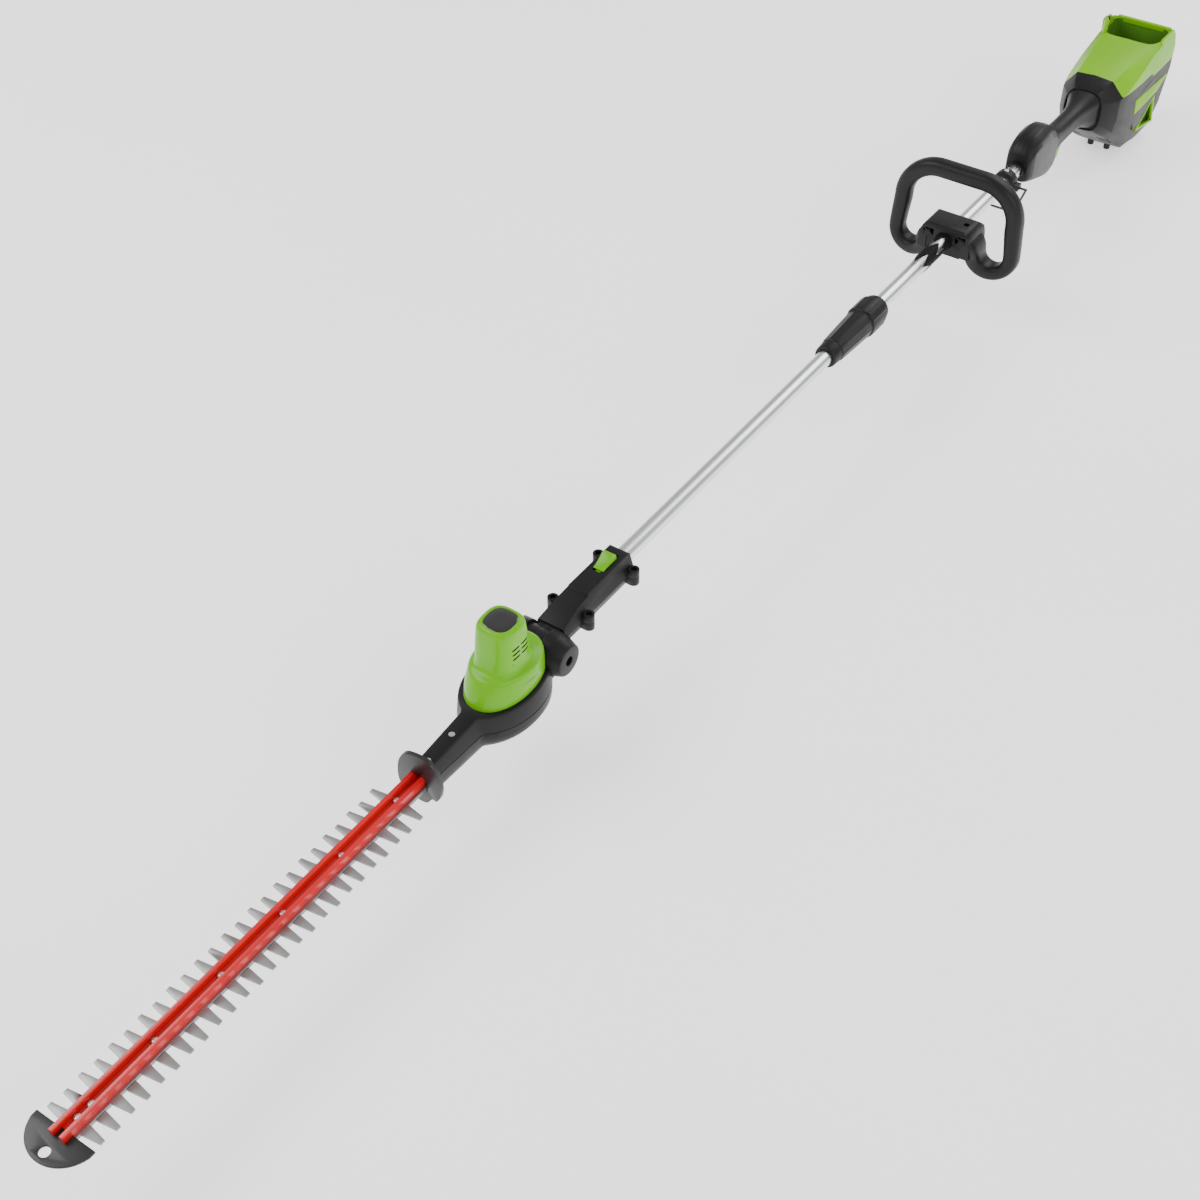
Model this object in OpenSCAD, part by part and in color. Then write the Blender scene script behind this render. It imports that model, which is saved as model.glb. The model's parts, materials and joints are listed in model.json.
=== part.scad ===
// Battery pole hedge trimmer: articulated double-blade head, two-piece shaft, loop handle and power head.
// X runs along the shaft with the blade tip at +X, Y is the user's left-right, Z is up.
// The origin is under the middle of the machine, on the level of the feet below the power head.

/* [Shaft] */
// Outside diameter of both shaft tubes
tube_d = 24; // [23:0.5:25]
// Wall thickness of the shaft tubes
tube_wall = 1.5; // [1:0.1:2]
// Height of the shaft axis above the feet
pole_z = 144; // [142:0.5:146]

/* [Cutter] */
// Distance between neighbouring teeth, counting both blades
tooth_pitch = 20.7; // [20:0.1:21]
// Half width over the tooth tips
tooth_reach = 37.6; // [34:0.2:40]
// Width of a tooth at its tip
tooth_tip_w = 6; // [5:0.5:8]
// Width of a tooth at its root
tooth_root_w = 13; // [11:0.5:14]
// Half width of the solid spine of each blade
spine_half = 13; // [12.5:0.1:13.2]
// Thickness of each blade
blade_t = 2.4; // [2:0.1:2.4]
// Height of the cutting plane above the feet
blade_z = 102; // [101.8:0.1:102.2]
// Travel of each blade either side of the middle
blade_throw = 6.5; // [5:0.5:6.5]

/* [Head] */
// Half length of the oval skirt of the motor cover
skirt_a = 64; // [62:0.5:65]
// Half width of the oval skirt of the motor cover
skirt_b = 40.5; // [39:0.5:41]
// Width of the square motor tower
tower_w = 52; // [50:0.5:54]
// Height of the top of the motor tower
tower_top = 233; // [228:1:236]
// Bore for the pivot bolt
pivot_bore = 8.2; // [8.1:0.05:8.3]

/* [Handles] */
// Diameter of the round bar of the loop handle
loop_bar = 28; // [26:0.5:29]
// Distance of the loop handle behind the middle of the machine
loop_back = 590; // [560:5:620]
// Half width of the trigger housing
housing_half = 26; // [24:0.5:27]

/* [Power head] */
// Half width of the power head
head_half = 60; // [58:0.5:61]
// Wall thickness of the moulded shells
shell_wall = 3; // [2.5:0.1:3.5]

/* [Hidden] */
$fn = 48;
eps = 0.01;
gap = 0.4;

// Stations along the shaft
tip_x = 1390;
tail_x = -1390;
tooth0_x = 1338;
teeth = 25;
bar_front_x = 1361.5;
bar_rear_x = 722;
bolt_stations = [1334, 1316, 1228, 1131, 1034, 937, 840];
guard_x = 798;
gear_x = 664;
motor_x = 632.5;
skirt_x = 631;
pivot_x = 565;
pivot_z = 137;
yoke_front_x = 534;
yoke_step_x = 476;
yoke_rear_x = 381;
front_tube_end_x = 455;
joint_x = -215;
collar_front_x = -159;
collar_rear_x = -319;
strap_x = -776;
housing_front_x = -820;
nose_x = -1103;
rear_tube_end_x = -905;

// Cutter stack
upper_z = blade_z + 0.2;
lower_z = blade_z - 0.2 - blade_t;
bar_z = upper_z + blade_t + gap;
bar_half = 10.25;
channel_half = 4.7;
bar_floor = 3;
bar_top = 116.6;
bush_d = 7.4;
bolt_d = 4;

// Case and cover levels
case_split_z = 107;
case_bottom_z = 80;
slope = 0.071;
neck_top_z = 124;
cover_base_z = 128;
shoulder_z = 172;

// Gears
gear_teeth = 36;
pinion_teeth = 9;
gear_pitch_r = 25.2;
pinion_pitch_r = 6.3;
gear_z = 110.5;
gear_t = 6;
ecc_r = 9;

// Pivot
barrel_r = 24;
ear_r = 28;
cheek_half = 15.5;
wheel_r = 19;

// ---------- shared shapes ----------

// Oval outline with half axes a and b
function oval(a, b, n = 56) = [for (i = [0 : n - 1]) [a * cos(360 * i / n), b * sin(360 * i / n)]];

// Box from its two opposite corners
module box(low, high) {
    translate(low) cube([high[0] - low[0], high[1] - low[1], high[2] - low[2]]);
}

// Profile drawn in X and Z, extruded across Y between y0 and y1
module side_slab(points, y0, y1) {
    translate([0, y1, 0]) rotate([90, 0, 0]) linear_extrude(y1 - y0) polygon(points);
}

// Section drawn in Y and Z, extruded along X from x0 to x1
module x_slab(points, x0, x1) {
    translate([x0, 0, 0]) rotate([90, 0, 90]) linear_extrude(x1 - x0) polygon(points);
}

// Cylinder along X
module x_rod(x0, x1, d, y = 0, z = 0) {
    translate([x0, y, z]) rotate([0, 90, 0]) cylinder(h = x1 - x0, d = d);
}

// Cylinder along Y
module y_rod(y0, y1, d, x, z) {
    translate([x, y1, z]) rotate([90, 0, 0]) cylinder(h = y1 - y0, d = d);
}

// Cylinder along Z
module z_rod(z0, z1, d, x = 0, y = 0) {
    translate([x, y, z0]) cylinder(h = z1 - z0, d = d);
}

// Rounded rectangle centred on the origin, as a plan outline
module round_rect(w, h, r) {
    square([w - 2 * r, h], center = true);
    square([w, h - 2 * r], center = true);
    for (sx = [-1, 1]) for (sy = [-1, 1]) translate([sx * (w / 2 - r), sy * (h / 2 - r)]) circle(r);
}

// Long hole along X, as a plan outline
module slot_2d(x0, x1, w) {
    translate([x0, -w / 2]) square([x1 - x0, w]);
    for (x = [x0, x1]) translate([x, 0]) circle(d = w);
}

// Section symmetric about Y = 0, from a list of half widths and heights going up
function mirrored(half) = concat(half, [for (i = [len(half) - 1 : -1 : 0]) [-half[i][0], half[i][1]]]);

// ---------- cutter ----------

// Plan outline of the plate at the tip that keeps the teeth off walls and ground
tip_arc_x = 1350;
tip_horn_half = 41;
tip_nose_r = 42;
module tip_guard() {
    color("#222222") difference() {
        translate([0, 0, bar_z]) linear_extrude(3) difference() {
            intersection() {
                translate([tip_x - tip_nose_r, 0]) circle(tip_nose_r);
                translate([tip_arc_x, -tip_horn_half]) square([60, 2 * tip_horn_half]);
            }
            translate([tip_x - 12, 0]) circle(d = 12.5);
        }
    }
}

// Red extruded channel that carries the blades
module cutter_bar() {
    section = [
        [-bar_half, bar_z], [bar_half, bar_z], [bar_half, bar_top], [channel_half, bar_top],
        [channel_half, bar_z + bar_floor], [-channel_half, bar_z + bar_floor],
        [-channel_half, bar_top], [-bar_half, bar_top]
    ];
    color("#d8151c") difference() {
        x_slab(section, bar_rear_x, bar_front_x);
        box([tip_arc_x - 0.1, -bar_half - 1, bar_z - 1], [bar_front_x + 1, bar_half + 1, bar_z + bar_floor]);
        for (x = bolt_stations) z_rod(bar_z - 1, bar_z + bar_floor + 1, bolt_d + 0.3, x);
        for (x = neck_screw_x) z_rod(bar_z - 1, bar_z + bar_floor + 1, bolt_d + 0.3, x);
    }
}

// Bolts that clamp the blades below the bar, with their nuts
nut_af = 7;
module bar_bolts() {
    color("#c8ccd0") for (x = bolt_stations) {
        z_rod(bar_z + bar_floor, bar_z + bar_floor + 2.6, 7.6, x);
        z_rod(washer_z - 3, bar_z + bar_floor + eps, bolt_d, x);
        translate([x, 0, washer_z - 3.2]) cylinder(h = 3.2, d = nut_af / cos(30), $fn = 6);
    }
}

// Spacer sleeves that the blade slots slide along
washer_z = lower_z - gap - 1.5;
module blade_bushes() {
    color("#9a9ea2") for (x = bolt_stations) difference() {
        z_rod(washer_z + 1.5, bar_z, bush_d, x);
        z_rod(washer_z, bar_z + 1, bolt_d, x);
    }
}

// Washers below the lower blade
module blade_washers() {
    color("#b0b4b8") for (x = bolt_stations) difference() {
        z_rod(washer_z, washer_z + 1.5, 16, x);
        z_rod(washer_z - 1, washer_z + 2, bolt_d, x);
    }
}

// Tooth outline pointing to +Y, with hooked root on the hooked kind
module tooth_2d(side) {
    root = 0.5 * tooth_root_w;
    tip = 0.5 * tooth_tip_w;
    polygon([
        [-root, side * (spine_half - 1)], [root, side * (spine_half - 1)],
        [root, side * (spine_half + 2)], [tip, side * tooth_reach], [-tip, side * tooth_reach],
        [-root, side * (spine_half + 2)]
    ]);
}

// One blade: spine, teeth from the first index in steps of two, slots and the drive frame at its tail
yoke_frame_x = 27;
yoke_frame_y = 20.5;
window_x = ecc_r + 2 * blade_throw + 0.5;
window_y = ecc_r + blade_throw + 0.5;
module blade(z, first) {
    slot_run = blade_throw + 0.5;
    translate([0, 0, z]) linear_extrude(blade_t) difference() {
        union() {
            translate([gear_x + yoke_frame_x - 2, -spine_half]) square([1354 - gear_x - yoke_frame_x + 2, 2 * spine_half]);
            polygon([
                [gear_x + yoke_frame_x + 10, spine_half], [gear_x + yoke_frame_x - 4, yoke_frame_y],
                [gear_x - yoke_frame_x, yoke_frame_y], [gear_x - yoke_frame_x, -yoke_frame_y],
                [gear_x + yoke_frame_x - 4, -yoke_frame_y], [gear_x + yoke_frame_x + 10, -spine_half]
            ]);
            for (i = [first : 2 : teeth - 1]) translate([tooth0_x - i * tooth_pitch, 0]) {
                tooth_2d(1);
                tooth_2d(-1);
            }
        }
        translate([gear_x, 0]) square([2 * window_x, 2 * window_y], center = true);
        slot_2d(bolt_stations[1] - slot_run, bolt_stations[0] + slot_run, bush_d + 0.6);
        for (k = [2 : len(bolt_stations) - 1])
            slot_2d(bolt_stations[k] - slot_run, bolt_stations[k] + slot_run, bush_d + 0.6);
    }
}
module upper_blade() {
    color("#9fa3a6") blade(upper_z, 0);
}
module lower_blade() {
    color("#8f9396") blade(lower_z, 1);
}

// ---------- head ----------

// Fixed plate in front of the gearcase that keeps cuttings and fingers apart
module hand_guard() {
    outline = [
        [-29, 86], [-31, 104], [-28, 126], [-19, 144], [0, 149], [20, 149], [31, 132], [35, 114],
        [32, 96], [26, 85], [20, 88], [11, 73], [-6, 73], [-6, 84]
    ];
    color("#2b2c2e") difference() {
        x_slab(outline, guard_x - 3, guard_x + 3);
        box([guard_x - 4, -14, blade_z - 5], [guard_x + 4, 14, bar_z]);
        box([guard_x - 4, -bar_half - 0.01, bar_z - 1], [guard_x + 4, bar_half + 0.01, bar_top + 0.01]);
    }
}

// Plan outline of the gearcase, g larger all round
module case_2d(g, a = 70, b = 46) {
    translate([skirt_x, 0]) polygon(oval(a + g, b + g));
    polygon([
        [guard_x - 3, 14 + g], [735, 18 + g], [698, 25 + g], [670, 38 + g], [640, 40 + g],
        [640, -40 - g], [670, -38 - g], [698, -25 - g], [735, -18 - g], [guard_x - 3, -14 - g]
    ]);
}

// Everything the head must leave free around the tongue of the shaft, over the whole tilt
module tongue_sweep() {
    y_rod(-cheek_half - 0.5, cheek_half + 0.5, 2 * barrel_r + 3, pivot_x, pivot_z);
    box([480, -cheek_half - 0.5, 60], [590, cheek_half + 0.5, 140]);
    box([480, -24, 60], [590, 24, 107.5]);
    box([480, -cheek_half - 0.5, 130], [568, cheek_half + 0.5, 260]);
}

// Ears that hold the pivot, with the long boss on one side
module ears() {
    y_rod(cheek_half + 0.5, 30, 2 * ear_r, pivot_x, pivot_z);
    translate([pivot_x, 30, pivot_z]) rotate([-90, 0, 0]) cylinder(h = 20, r1 = ear_r, r2 = 21);
    y_rod(-29, -cheek_half - 0.5, 2 * ear_r, pivot_x, pivot_z);
    translate([pivot_x, -29, pivot_z]) rotate([90, 0, 0]) cylinder(h = 6, r1 = ear_r, r2 = 22);
    for (s = [-1, 1]) translate([0, s * 24.5, 0]) box([pivot_x, -8.5, 108.5], [600, 8.5, 136]);
}

neck_screw_x = [781, 735];
cover_screws = [[676, 26], [676, -26], [600, 27], [600, -27]];
function roof_z(x) = 141 - 0.0604 * (x - 540);
function neck_z(x) = neck_top_z + (guard_x - 3 - x) * 8 / 106;
module gearcase_upper() {
    roof = [
        [540, case_split_z], [guard_x - 3, case_split_z], [guard_x - 3, neck_top_z],
        [skirt_x + 58, 132], [540, 141]
    ];
    roof_in = [
        [575, case_split_z - 1], [guard_x - 2, case_split_z - 1], [guard_x - 2, neck_top_z - 5],
        [skirt_x + 58, 127.5], [575, 135]
    ];
    color("#2d2e30") difference() {
        union() {
            difference() {
                intersection() {
                    translate([0, 0, case_split_z]) linear_extrude(60) case_2d(0);
                    side_slab(roof, -60, 60);
                }
                intersection() {
                    translate([0, 0, 90]) linear_extrude(60) case_2d(-3);
                    side_slab(roof_in, -60, 60);
                    box([593, -60, 90], [712, 60, 150]);
                }
                box([700, -bar_half - 0.3, 100], [guard_x + 1, bar_half + 0.3, bar_top + 0.3]);
                z_rod(120, 150, 44.6, motor_x);
            }
            ears();
        }
        tongue_sweep();
        y_rod(-40, 60, pivot_bore, pivot_x, pivot_z);
        y_rod(36, 60, 13, pivot_x, pivot_z);
        y_rod(-40, -29, 14.2, pivot_x, pivot_z);
        for (x = neck_screw_x) {
            z_rod(100, 140, bolt_d + 0.3, x);
            z_rod(neck_z(x) - 3.5, 140, 8.4, x);
        }
        for (p = cover_screws) z_rod(100, roof_z(p[0]) - 1.8, 3.4, p[0], p[1]);
    }
}

module gearcase_lower() {
    color("#303133") difference() {
        union() {
            translate([0, 0, 92]) linear_extrude(case_split_z - gap / 4 - 92) case_2d(1.5, 70, 47.5);
            translate([0, 0, 84]) linear_extrude(8 + eps) case_2d(-1.5, 68, 44);
            translate([0, 0, case_bottom_z]) linear_extrude(4 + eps) case_2d(-4, 66, 40);
        }
        intersection() {
            translate([0, 0, 84.5]) linear_extrude(30) case_2d(-3.5);
            box([593, -60, 80], [710, 60, 120]);
        }
        box([700, -13.6, washer_z - 4.2], [guard_x + 1, 13.6, 110]);
        tongue_sweep();
        for (p = cover_screws) {
            z_rod(75, 120, 3.4, p[0], p[1]);
            z_rod(75, case_bottom_z + 3.2, 6.4, p[0], p[1]);
        }
    }
}

// Screws through the neck and the rim of the case
module case_screws() {
    color("#c4c8cc") {
        for (x = neck_screw_x) {
            z_rod(neck_z(x) - 3.4, neck_z(x) - 0.6, 8, x);
            z_rod(bar_z + 0.2, neck_z(x) - 3.3, bolt_d, x);
        }
        for (p = cover_screws) {
            z_rod(case_bottom_z + 3, roof_z(p[0]) - 2, 3.2, p[0], p[1]);
            z_rod(case_bottom_z + 0.6, case_bottom_z + 3.1, 6, p[0], p[1]);
        }
    }
}

// Spur gear outline: trapezoid teeth with play at the flanks
module spur_2d(n, pitch_r, tip, root, land_tip, land_root) {
    union() {
        circle(pitch_r - root + 0.05);
        for (i = [0 : n - 1]) rotate(360 * i / n) polygon([
            [pitch_r - root - 0.4, -land_root], [pitch_r + tip, -land_tip],
            [pitch_r + tip, land_tip], [pitch_r - root - 0.4, land_root]
        ]);
    }
}

// Reduction gear with the two eccentrics that push the blades apart
module crank_gear() {
    color("#8c8f93") difference() {
        union() {
            translate([gear_x, 0, gear_z]) linear_extrude(gear_t)
                rotate(180 / gear_teeth) spur_2d(gear_teeth, gear_pitch_r, 1.2, 1.7, 0.5, 1.05);
            z_rod(upper_z - 0.1, gear_z + eps, 2 * ecc_r, gear_x, blade_throw);
            z_rod(lower_z, upper_z - 0.1 + eps, 2 * ecc_r, gear_x, -blade_throw);
            z_rod(88, gear_z + gear_t + 8, 4, gear_x);
        }
    }
}

// Bearings at both ends of the crank shaft
module crank_bearings() {
    color("#b9bcc0") for (z = [88.5, gear_z + gear_t + 2]) difference() {
        z_rod(z, z + 5, 13, gear_x);
        z_rod(z - 1, z + 6, 4.05, gear_x);
    }
}

// Die-cast plate between gears and motor, with the lower bearing post
module motor_plate() {
    color("#a7a9ac") difference() {
        union() {
            translate([0, 0, 119]) linear_extrude(4) {
                translate([motor_x, 0]) circle(24);
                translate([gear_x, 0]) circle(12);
                translate([gear_x - 16, -12]) square([16, 24]);
            }
            z_rod(gear_z + gear_t + 1.8, 119.1, 17, gear_x);
            z_rod(84.6, 94, 19, gear_x);
            box([gear_x - 10, -30, 84.6], [gear_x + 10, 30, 88]);
        }
        z_rod(gear_z + gear_t + 1.5, 130, 13, gear_x);
        z_rod(88.4, 94.1, 13, gear_x);
        z_rod(84, 89, 5, gear_x);
        z_rod(115, 130, 10, motor_x);
    }
}

// Steel can of the motor with its windings space
module motor_can() {
    color("#55585c") difference() {
        z_rod(123.2, 200, 43, motor_x);
        z_rod(125.2, 198, 37, motor_x);
        z_rod(120, 210, 13, motor_x);
    }
}

// Wound rotor on its shaft
module motor_rotor() {
    color("#b06a34") {
        z_rod(132, 188, 30, motor_x);
        z_rod(107.5, 204, 5, motor_x);
    }
}

// Motor pinion
module pinion() {
    color("#c9a24a") difference() {
        translate([motor_x, 0, gear_z - 1]) linear_extrude(gear_t + 2)
            spur_2d(pinion_teeth, pinion_pitch_r, 1.2, 1.7, 0.5, 1.1);
        z_rod(100, 125, 5, motor_x);
    }
}

// Bearings at both ends of the rotor shaft
module motor_bearings() {
    color("#b9bcc0") for (z = [125.4, 193]) difference() {
        z_rod(z, z + 5, 12.9, motor_x);
        z_rod(z - 1, z + 6, 5.05, motor_x);
    }
}

// Glossy cover with its oval skirt, shoulder and motor tower
vent_rows = [205, 198, 191];
module motor_cover() {
    base = [[555, 124], [720, 124], [720, 130.2], [skirt_x + 58, 132.3], [555, 141.3]];
    color("#8fd12c") difference() {
        union() {
            translate([skirt_x, 0, 126]) linear_extrude(shoulder_z - 6 - 126) polygon(oval(skirt_a, skirt_b));
            translate([skirt_x, 0, shoulder_z - 6]) linear_extrude(4) polygon(oval(skirt_a - 2, skirt_b - 2));
            translate([skirt_x, 0, shoulder_z - 2]) linear_extrude(2) polygon(oval(skirt_a - 6, skirt_b - 5));
            translate([motor_x, 0, shoulder_z - 1]) linear_extrude(tower_top - 3 - shoulder_z + 1)
                round_rect(tower_w + 3, tower_w + 3, 20);
            translate([motor_x, 0, tower_top - 3 - eps]) linear_extrude(3) round_rect(tower_w - 4, tower_w - 4, 18);
        }
        side_slab(base, -60, 60);
        translate([skirt_x, 0, 120]) linear_extrude(48) polygon(oval(skirt_a - 3, skirt_b - 3));
        translate([motor_x, 0, 160]) linear_extrude(tower_top - 163) round_rect(tower_w - 3, tower_w - 3, 18);
        for (z = vent_rows) for (x = [motor_x - 9, motor_x + 7]) box([x - 7, 20, z], [x + 7, 40, z + 2.4]);
        y_rod(-80, 80, 2 * ear_r + 1.5, pivot_x, pivot_z);
        box([500, -60, 100], [569, 60, 260]);
    }
}

// Blank badge let into the top of the tower
module cover_badge() {
    color("#1c1c1e") translate([motor_x, 0, tower_top - eps]) linear_extrude(1) round_rect(40, 36, 12);
}

// ---------- pivot ----------

module pivot_bolt() {
    color("#7d8084") {
        y_rod(-35, 38, 8, pivot_x, pivot_z);
        y_rod(36.2, 42, 12.6, pivot_x, pivot_z);
    }
}
module pivot_nut() {
    color("#c4c8cc") difference() {
        translate([pivot_x, -29.3, pivot_z]) rotate([90, 0, 0]) cylinder(h = 5, d = 13, $fn = 6);
        y_rod(-40, -20, 8, pivot_x, pivot_z);
    }
}

// Notched wheel that turns with the head, between the two cheeks of the tongue
module lock_wheel() {
    color("#9a8f6a") difference() {
        y_rod(-4.2, 4.2, 2 * wheel_r, pivot_x, pivot_z);
        y_rod(-10, 10, 8, pivot_x, pivot_z);
        for (i = [0 : 23]) translate([pivot_x, 0, pivot_z]) rotate([0, 15 * i, 0])
            box([-wheel_r - 1, -6, -1.5], [-wheel_r + 3, 6, 1.5]);
    }
}

// One cheek of the tongue that the head tilts on
module tongue_half(s) {
    tail = [
        [pivot_x, pivot_z - 17], [pivot_x, pivot_z + 19], [534, 146], [505, 152.4], [480, 152.4], [480, 125], [534, 121]
    ];
    difference() {
        union() {
            y_rod(s > 0 ? 0.05 : -cheek_half, s > 0 ? cheek_half : -0.05, 2 * barrel_r, pivot_x, pivot_z);
            side_slab(tail, s > 0 ? 0.05 : -cheek_half + 1.5, s > 0 ? cheek_half - 1.5 : -0.05);
        }
        y_rod(-4.6, 4.6, 2 * wheel_r + 1, pivot_x, pivot_z);
        side_slab([[470, 124], [548, 130], [548, 144.5], [524, 144.5], [506, 170], [470, 170]], -4.6, 4.6);
        y_rod(-20, 20, pivot_bore, pivot_x, pivot_z);
        x_rod(400, 486, 21, 0, pole_z);
    }
}
module tongue_left() {
    color("#3a3c3f") tongue_half(1);
}
module tongue_right() {
    color("#3a3c3f") tongue_half(-1);
}

// Section of the yoke housing: narrow top, wide at the split line
module yoke_form() {
    section = mirrored([[12, 124], [20, 127], [23, 137], [15, 161]]);
    shape = [
        [yoke_rear_x, 124], [yoke_rear_x, 161], [yoke_rear_x + 4, 162], [yoke_step_x - 2, 162],
        [yoke_step_x, 159], [500, 157], [yoke_front_x, 148], [yoke_front_x, 121], [490, 124]
    ];
    intersection() {
        x_slab(mirrored([[12, 118], [20, 124], [23, 137], [15, 162]]), yoke_rear_x, yoke_front_x);
        side_slab(shape, -40, 40);
    }
    for (x = lug_x) for (s = [-1, 1]) {
        z_rod(124, 147, 15, x, s * 27.5);
        box([x - 7.5, s > 0 ? 12 : -27.5, 124], [x + 7.5, s > 0 ? 27.5 : -12, 145]);
    }
}
lug_x = [390, 491];
module yoke_bores() {
    x_rod(yoke_rear_x - 1, front_tube_end_x + 0.5, tube_d, 0, pole_z);
    side_slab([[479, 118], [479, 153], [505.5, 153], [534.5, 146.6], [536, 120]], -cheek_half + 1.4, cheek_half - 1.4);
    side_slab([[383.5, 150], [383.5, 159.8], [468.8, 159.8], [488, 150.5], [512, 141], [512, 140]], -4.6, 4.6);
    box([394, -7.2, 158], [434, 7.2, 170]);
    for (x = lug_x) for (s = [-1, 1]) {
        z_rod(120, 150, bolt_d + 0.2, x, s * 27.5);
        z_rod(141, 150, 8.4, x, s * 27.5);
    }
}
module yoke_upper() {
    color("#2c2d2f") difference() {
        yoke_form();
        yoke_bores();
        box([370, -50, 100], [560, 50, pivot_z]);
    }
}
module yoke_lower() {
    color("#2c2d2f") difference() {
        yoke_form();
        yoke_bores();
        box([370, -50, pivot_z - 0.1], [560, 50, 200]);
    }
}
module yoke_screws() {
    color("#4a4c4f") for (x = lug_x) for (s = [-1, 1]) {
        z_rod(125, 141.1, bolt_d, x, s * 27.5);
        z_rod(141, 143.2, 8, x, s * 27.5);
    }
}

// Saddle-shaped release slide on top, in one piece with the rod and pawl inside
module pivot_latch() {
    thumb = [
        [431, 162.4], [426, 163.4], [420, 166], [415, 169.5], [411, 173], [406, 174], [402, 170], [400, 162.4]
    ];
    rod = [
        [404, 156.8], [464.5, 156.8], [482, 147], [516, 134.5], [544.9, 134.5], [544.9, 139.5], [518, 139.5],
        [486, 151], [468, 159.3], [404, 159.3]
    ];
    color("#8fd12c") {
        side_slab(thumb, -8, 8);
        box([404, -6, 158], [424, 6, 162.5]);
    }
    color("#6f7276") side_slab(rod, -4, 4);
}

// Compression spring behind the release slide
module latch_spring() {
    color("#c4c8cc") for (i = [0 : 5]) translate([384 + i * 1.8, 0, 158]) rotate([0, 90, 0]) difference() {
        cylinder(h = 1, d = 3);
        translate([0, 0, -1]) cylinder(h = 3, d = 1.6);
    }
}

// ---------- shaft ----------

module tube(x0, x1) {
    difference() {
        x_rod(x0, x1, tube_d, 0, pole_z);
        x_rod(x0 - 1, x1 + 1, tube_d - 2 * tube_wall, 0, pole_z);
    }
}
module front_tube() {
    color("#d5d7d9") tube(joint_x + 0.5, front_tube_end_x);
}
module rear_tube() {
    color("#d5d7d9") tube(rear_tube_end_x, joint_x - 0.5);
}

// Keyed inner sleeve that lines the two tubes up
module coupler_spigot() {
    color("#9fa2a5") difference() {
        x_rod(joint_x - 55, joint_x + 55, tube_d - 2 * tube_wall - 0.1, 0, pole_z);
        x_rod(joint_x - 56, joint_x + 56, 15, 0, pole_z);
    }
}

// Threaded sleeve fixed on the rear tube, which the collar screws onto
module threaded_ferrule() {
    color("#6d7074") difference() {
        union() {
            x_rod(-300, -228, 31, 0, pole_z);
            for (x = [-296 : 6 : -260]) x_rod(x, x + 3, 33, 0, pole_z);
        }
        x_rod(-301, -214, tube_d, 0, pole_z);
    }
}

// Thrust ring on the front tube that the collar pulls against
module thrust_ring() {
    color("#b9bcc0") difference() {
        x_rod(-205, -200, 31, 0, pole_z);
        x_rod(-206, -199, tube_d + 0.4, 0, pole_z);
    }
}

// Tapered collar: narrow mouth to the front, wide ring with grip pads at the rear
module screw_collar() {
    color("#262728") difference() {
        union() {
            translate([collar_front_x, 0, pole_z]) rotate([0, -90, 0]) cylinder(h = 20, r1 = 17.5, r2 = 19.5);
            translate([collar_front_x - 20 + eps, 0, pole_z]) rotate([0, -90, 0]) cylinder(h = 90, r1 = 19.5, r2 = 23);
            x_rod(collar_rear_x + 12, collar_front_x - 110 + eps, 49, 0, pole_z);
            translate([collar_rear_x + 12 + eps, 0, pole_z]) rotate([0, -90, 0]) cylinder(h = 12, r1 = 24.5, r2 = 21);
            for (i = [0 : 3]) translate([0, 0, pole_z]) rotate([90 * i + 45, 0, 0])
                box([collar_rear_x + 10, -9, 20], [collar_front_x - 102, 9, 25.5]);
        }
        x_rod(-400, -199.8, 34, 0, pole_z);
        x_rod(-200, -100, tube_d + 0.6, 0, pole_z);
    }
}

// Power lead inside the shaft, from the switch to the plug in front of the tongue
module drive_lead() {
    color("#33343a") x_rod(-950, 448, 6, 0, pole_z);
}

// ---------- loop handle ----------

top_arc_r = 63;
low_arc_r = 28.5;
arc_y = 37;
arc_z = 180;
low_y = 71.5;
low_z = 120;
clamp_half = 30;
block_half = 31;
block_depth = 17;
block_front_x = -loop_back + 44;
clamp_screw_x = -loop_back + 16;

// Ring sector of the bar about an axis along X
module bar_arc(y, z, r, a0, a1) {
    translate([-loop_back, y, z]) rotate([90, 0, 90]) rotate([0, 0, a0]) rotate_extrude(angle = a1 - a0) translate([r, 0]) circle(d = loop_bar);
}
module loop_handle() {
    color("#28292b") difference() {
        union() {
            y_rod(-arc_y, arc_y, loop_bar, -loop_back, arc_z + top_arc_r);
            for (s = [0, 1]) mirror([0, s, 0]) {
                bar_arc(arc_y, arc_z, top_arc_r, 0, 90);
                translate([-loop_back, arc_y + top_arc_r, low_z]) cylinder(h = arc_z - low_z, d = loop_bar);
                bar_arc(low_y, low_z, low_arc_r, 180, 360);
                translate([-loop_back, low_y - low_arc_r, low_z]) cylinder(h = 16, d = loop_bar);
            }
            intersection() {
                side_block([
                    [-46, 122], [46, 122], [44, 146], [42, 155], [40, 162], [36, 166.5],
                    [block_half, 168.5], [-block_half, 168.5], [-36, 166.5], [-40, 162],
                    [-42, 155], [-44, 146]
                ]);
                side_slab([
                    [-loop_back - 30, 110], [-loop_back - 30, 150], [-loop_back - block_depth, 158], [-597, 167],
                    [-592, 169], [block_front_x - 5, 169], [block_front_x - 1, 166], [block_front_x + 1, 162],
                    [block_front_x + 1, 110]
                ], -60, 60);
            }
        }
        x_rod(-700, -500, tube_d + 5, 0, pole_z);
        box([-700, -clamp_half - 0.3, 60], [-500, clamp_half + 0.3, pole_z - 0.3]);
        z_rod(100, 180, 5.3, clamp_screw_x, 24);
        z_rod(153, 180, 9.4, clamp_screw_x, 24);
        z_rod(100, 154, 5.3, clamp_screw_x, -24);
        for (s = [-1, 1]) box([block_front_x - 10, s * 28 - 8.3, 148.5], [block_front_x + 5, s * 28 + 8.3, 159]);
    }
}
module side_block(points) {
    x_slab(points, -loop_back - block_depth, block_front_x);
}

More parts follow.
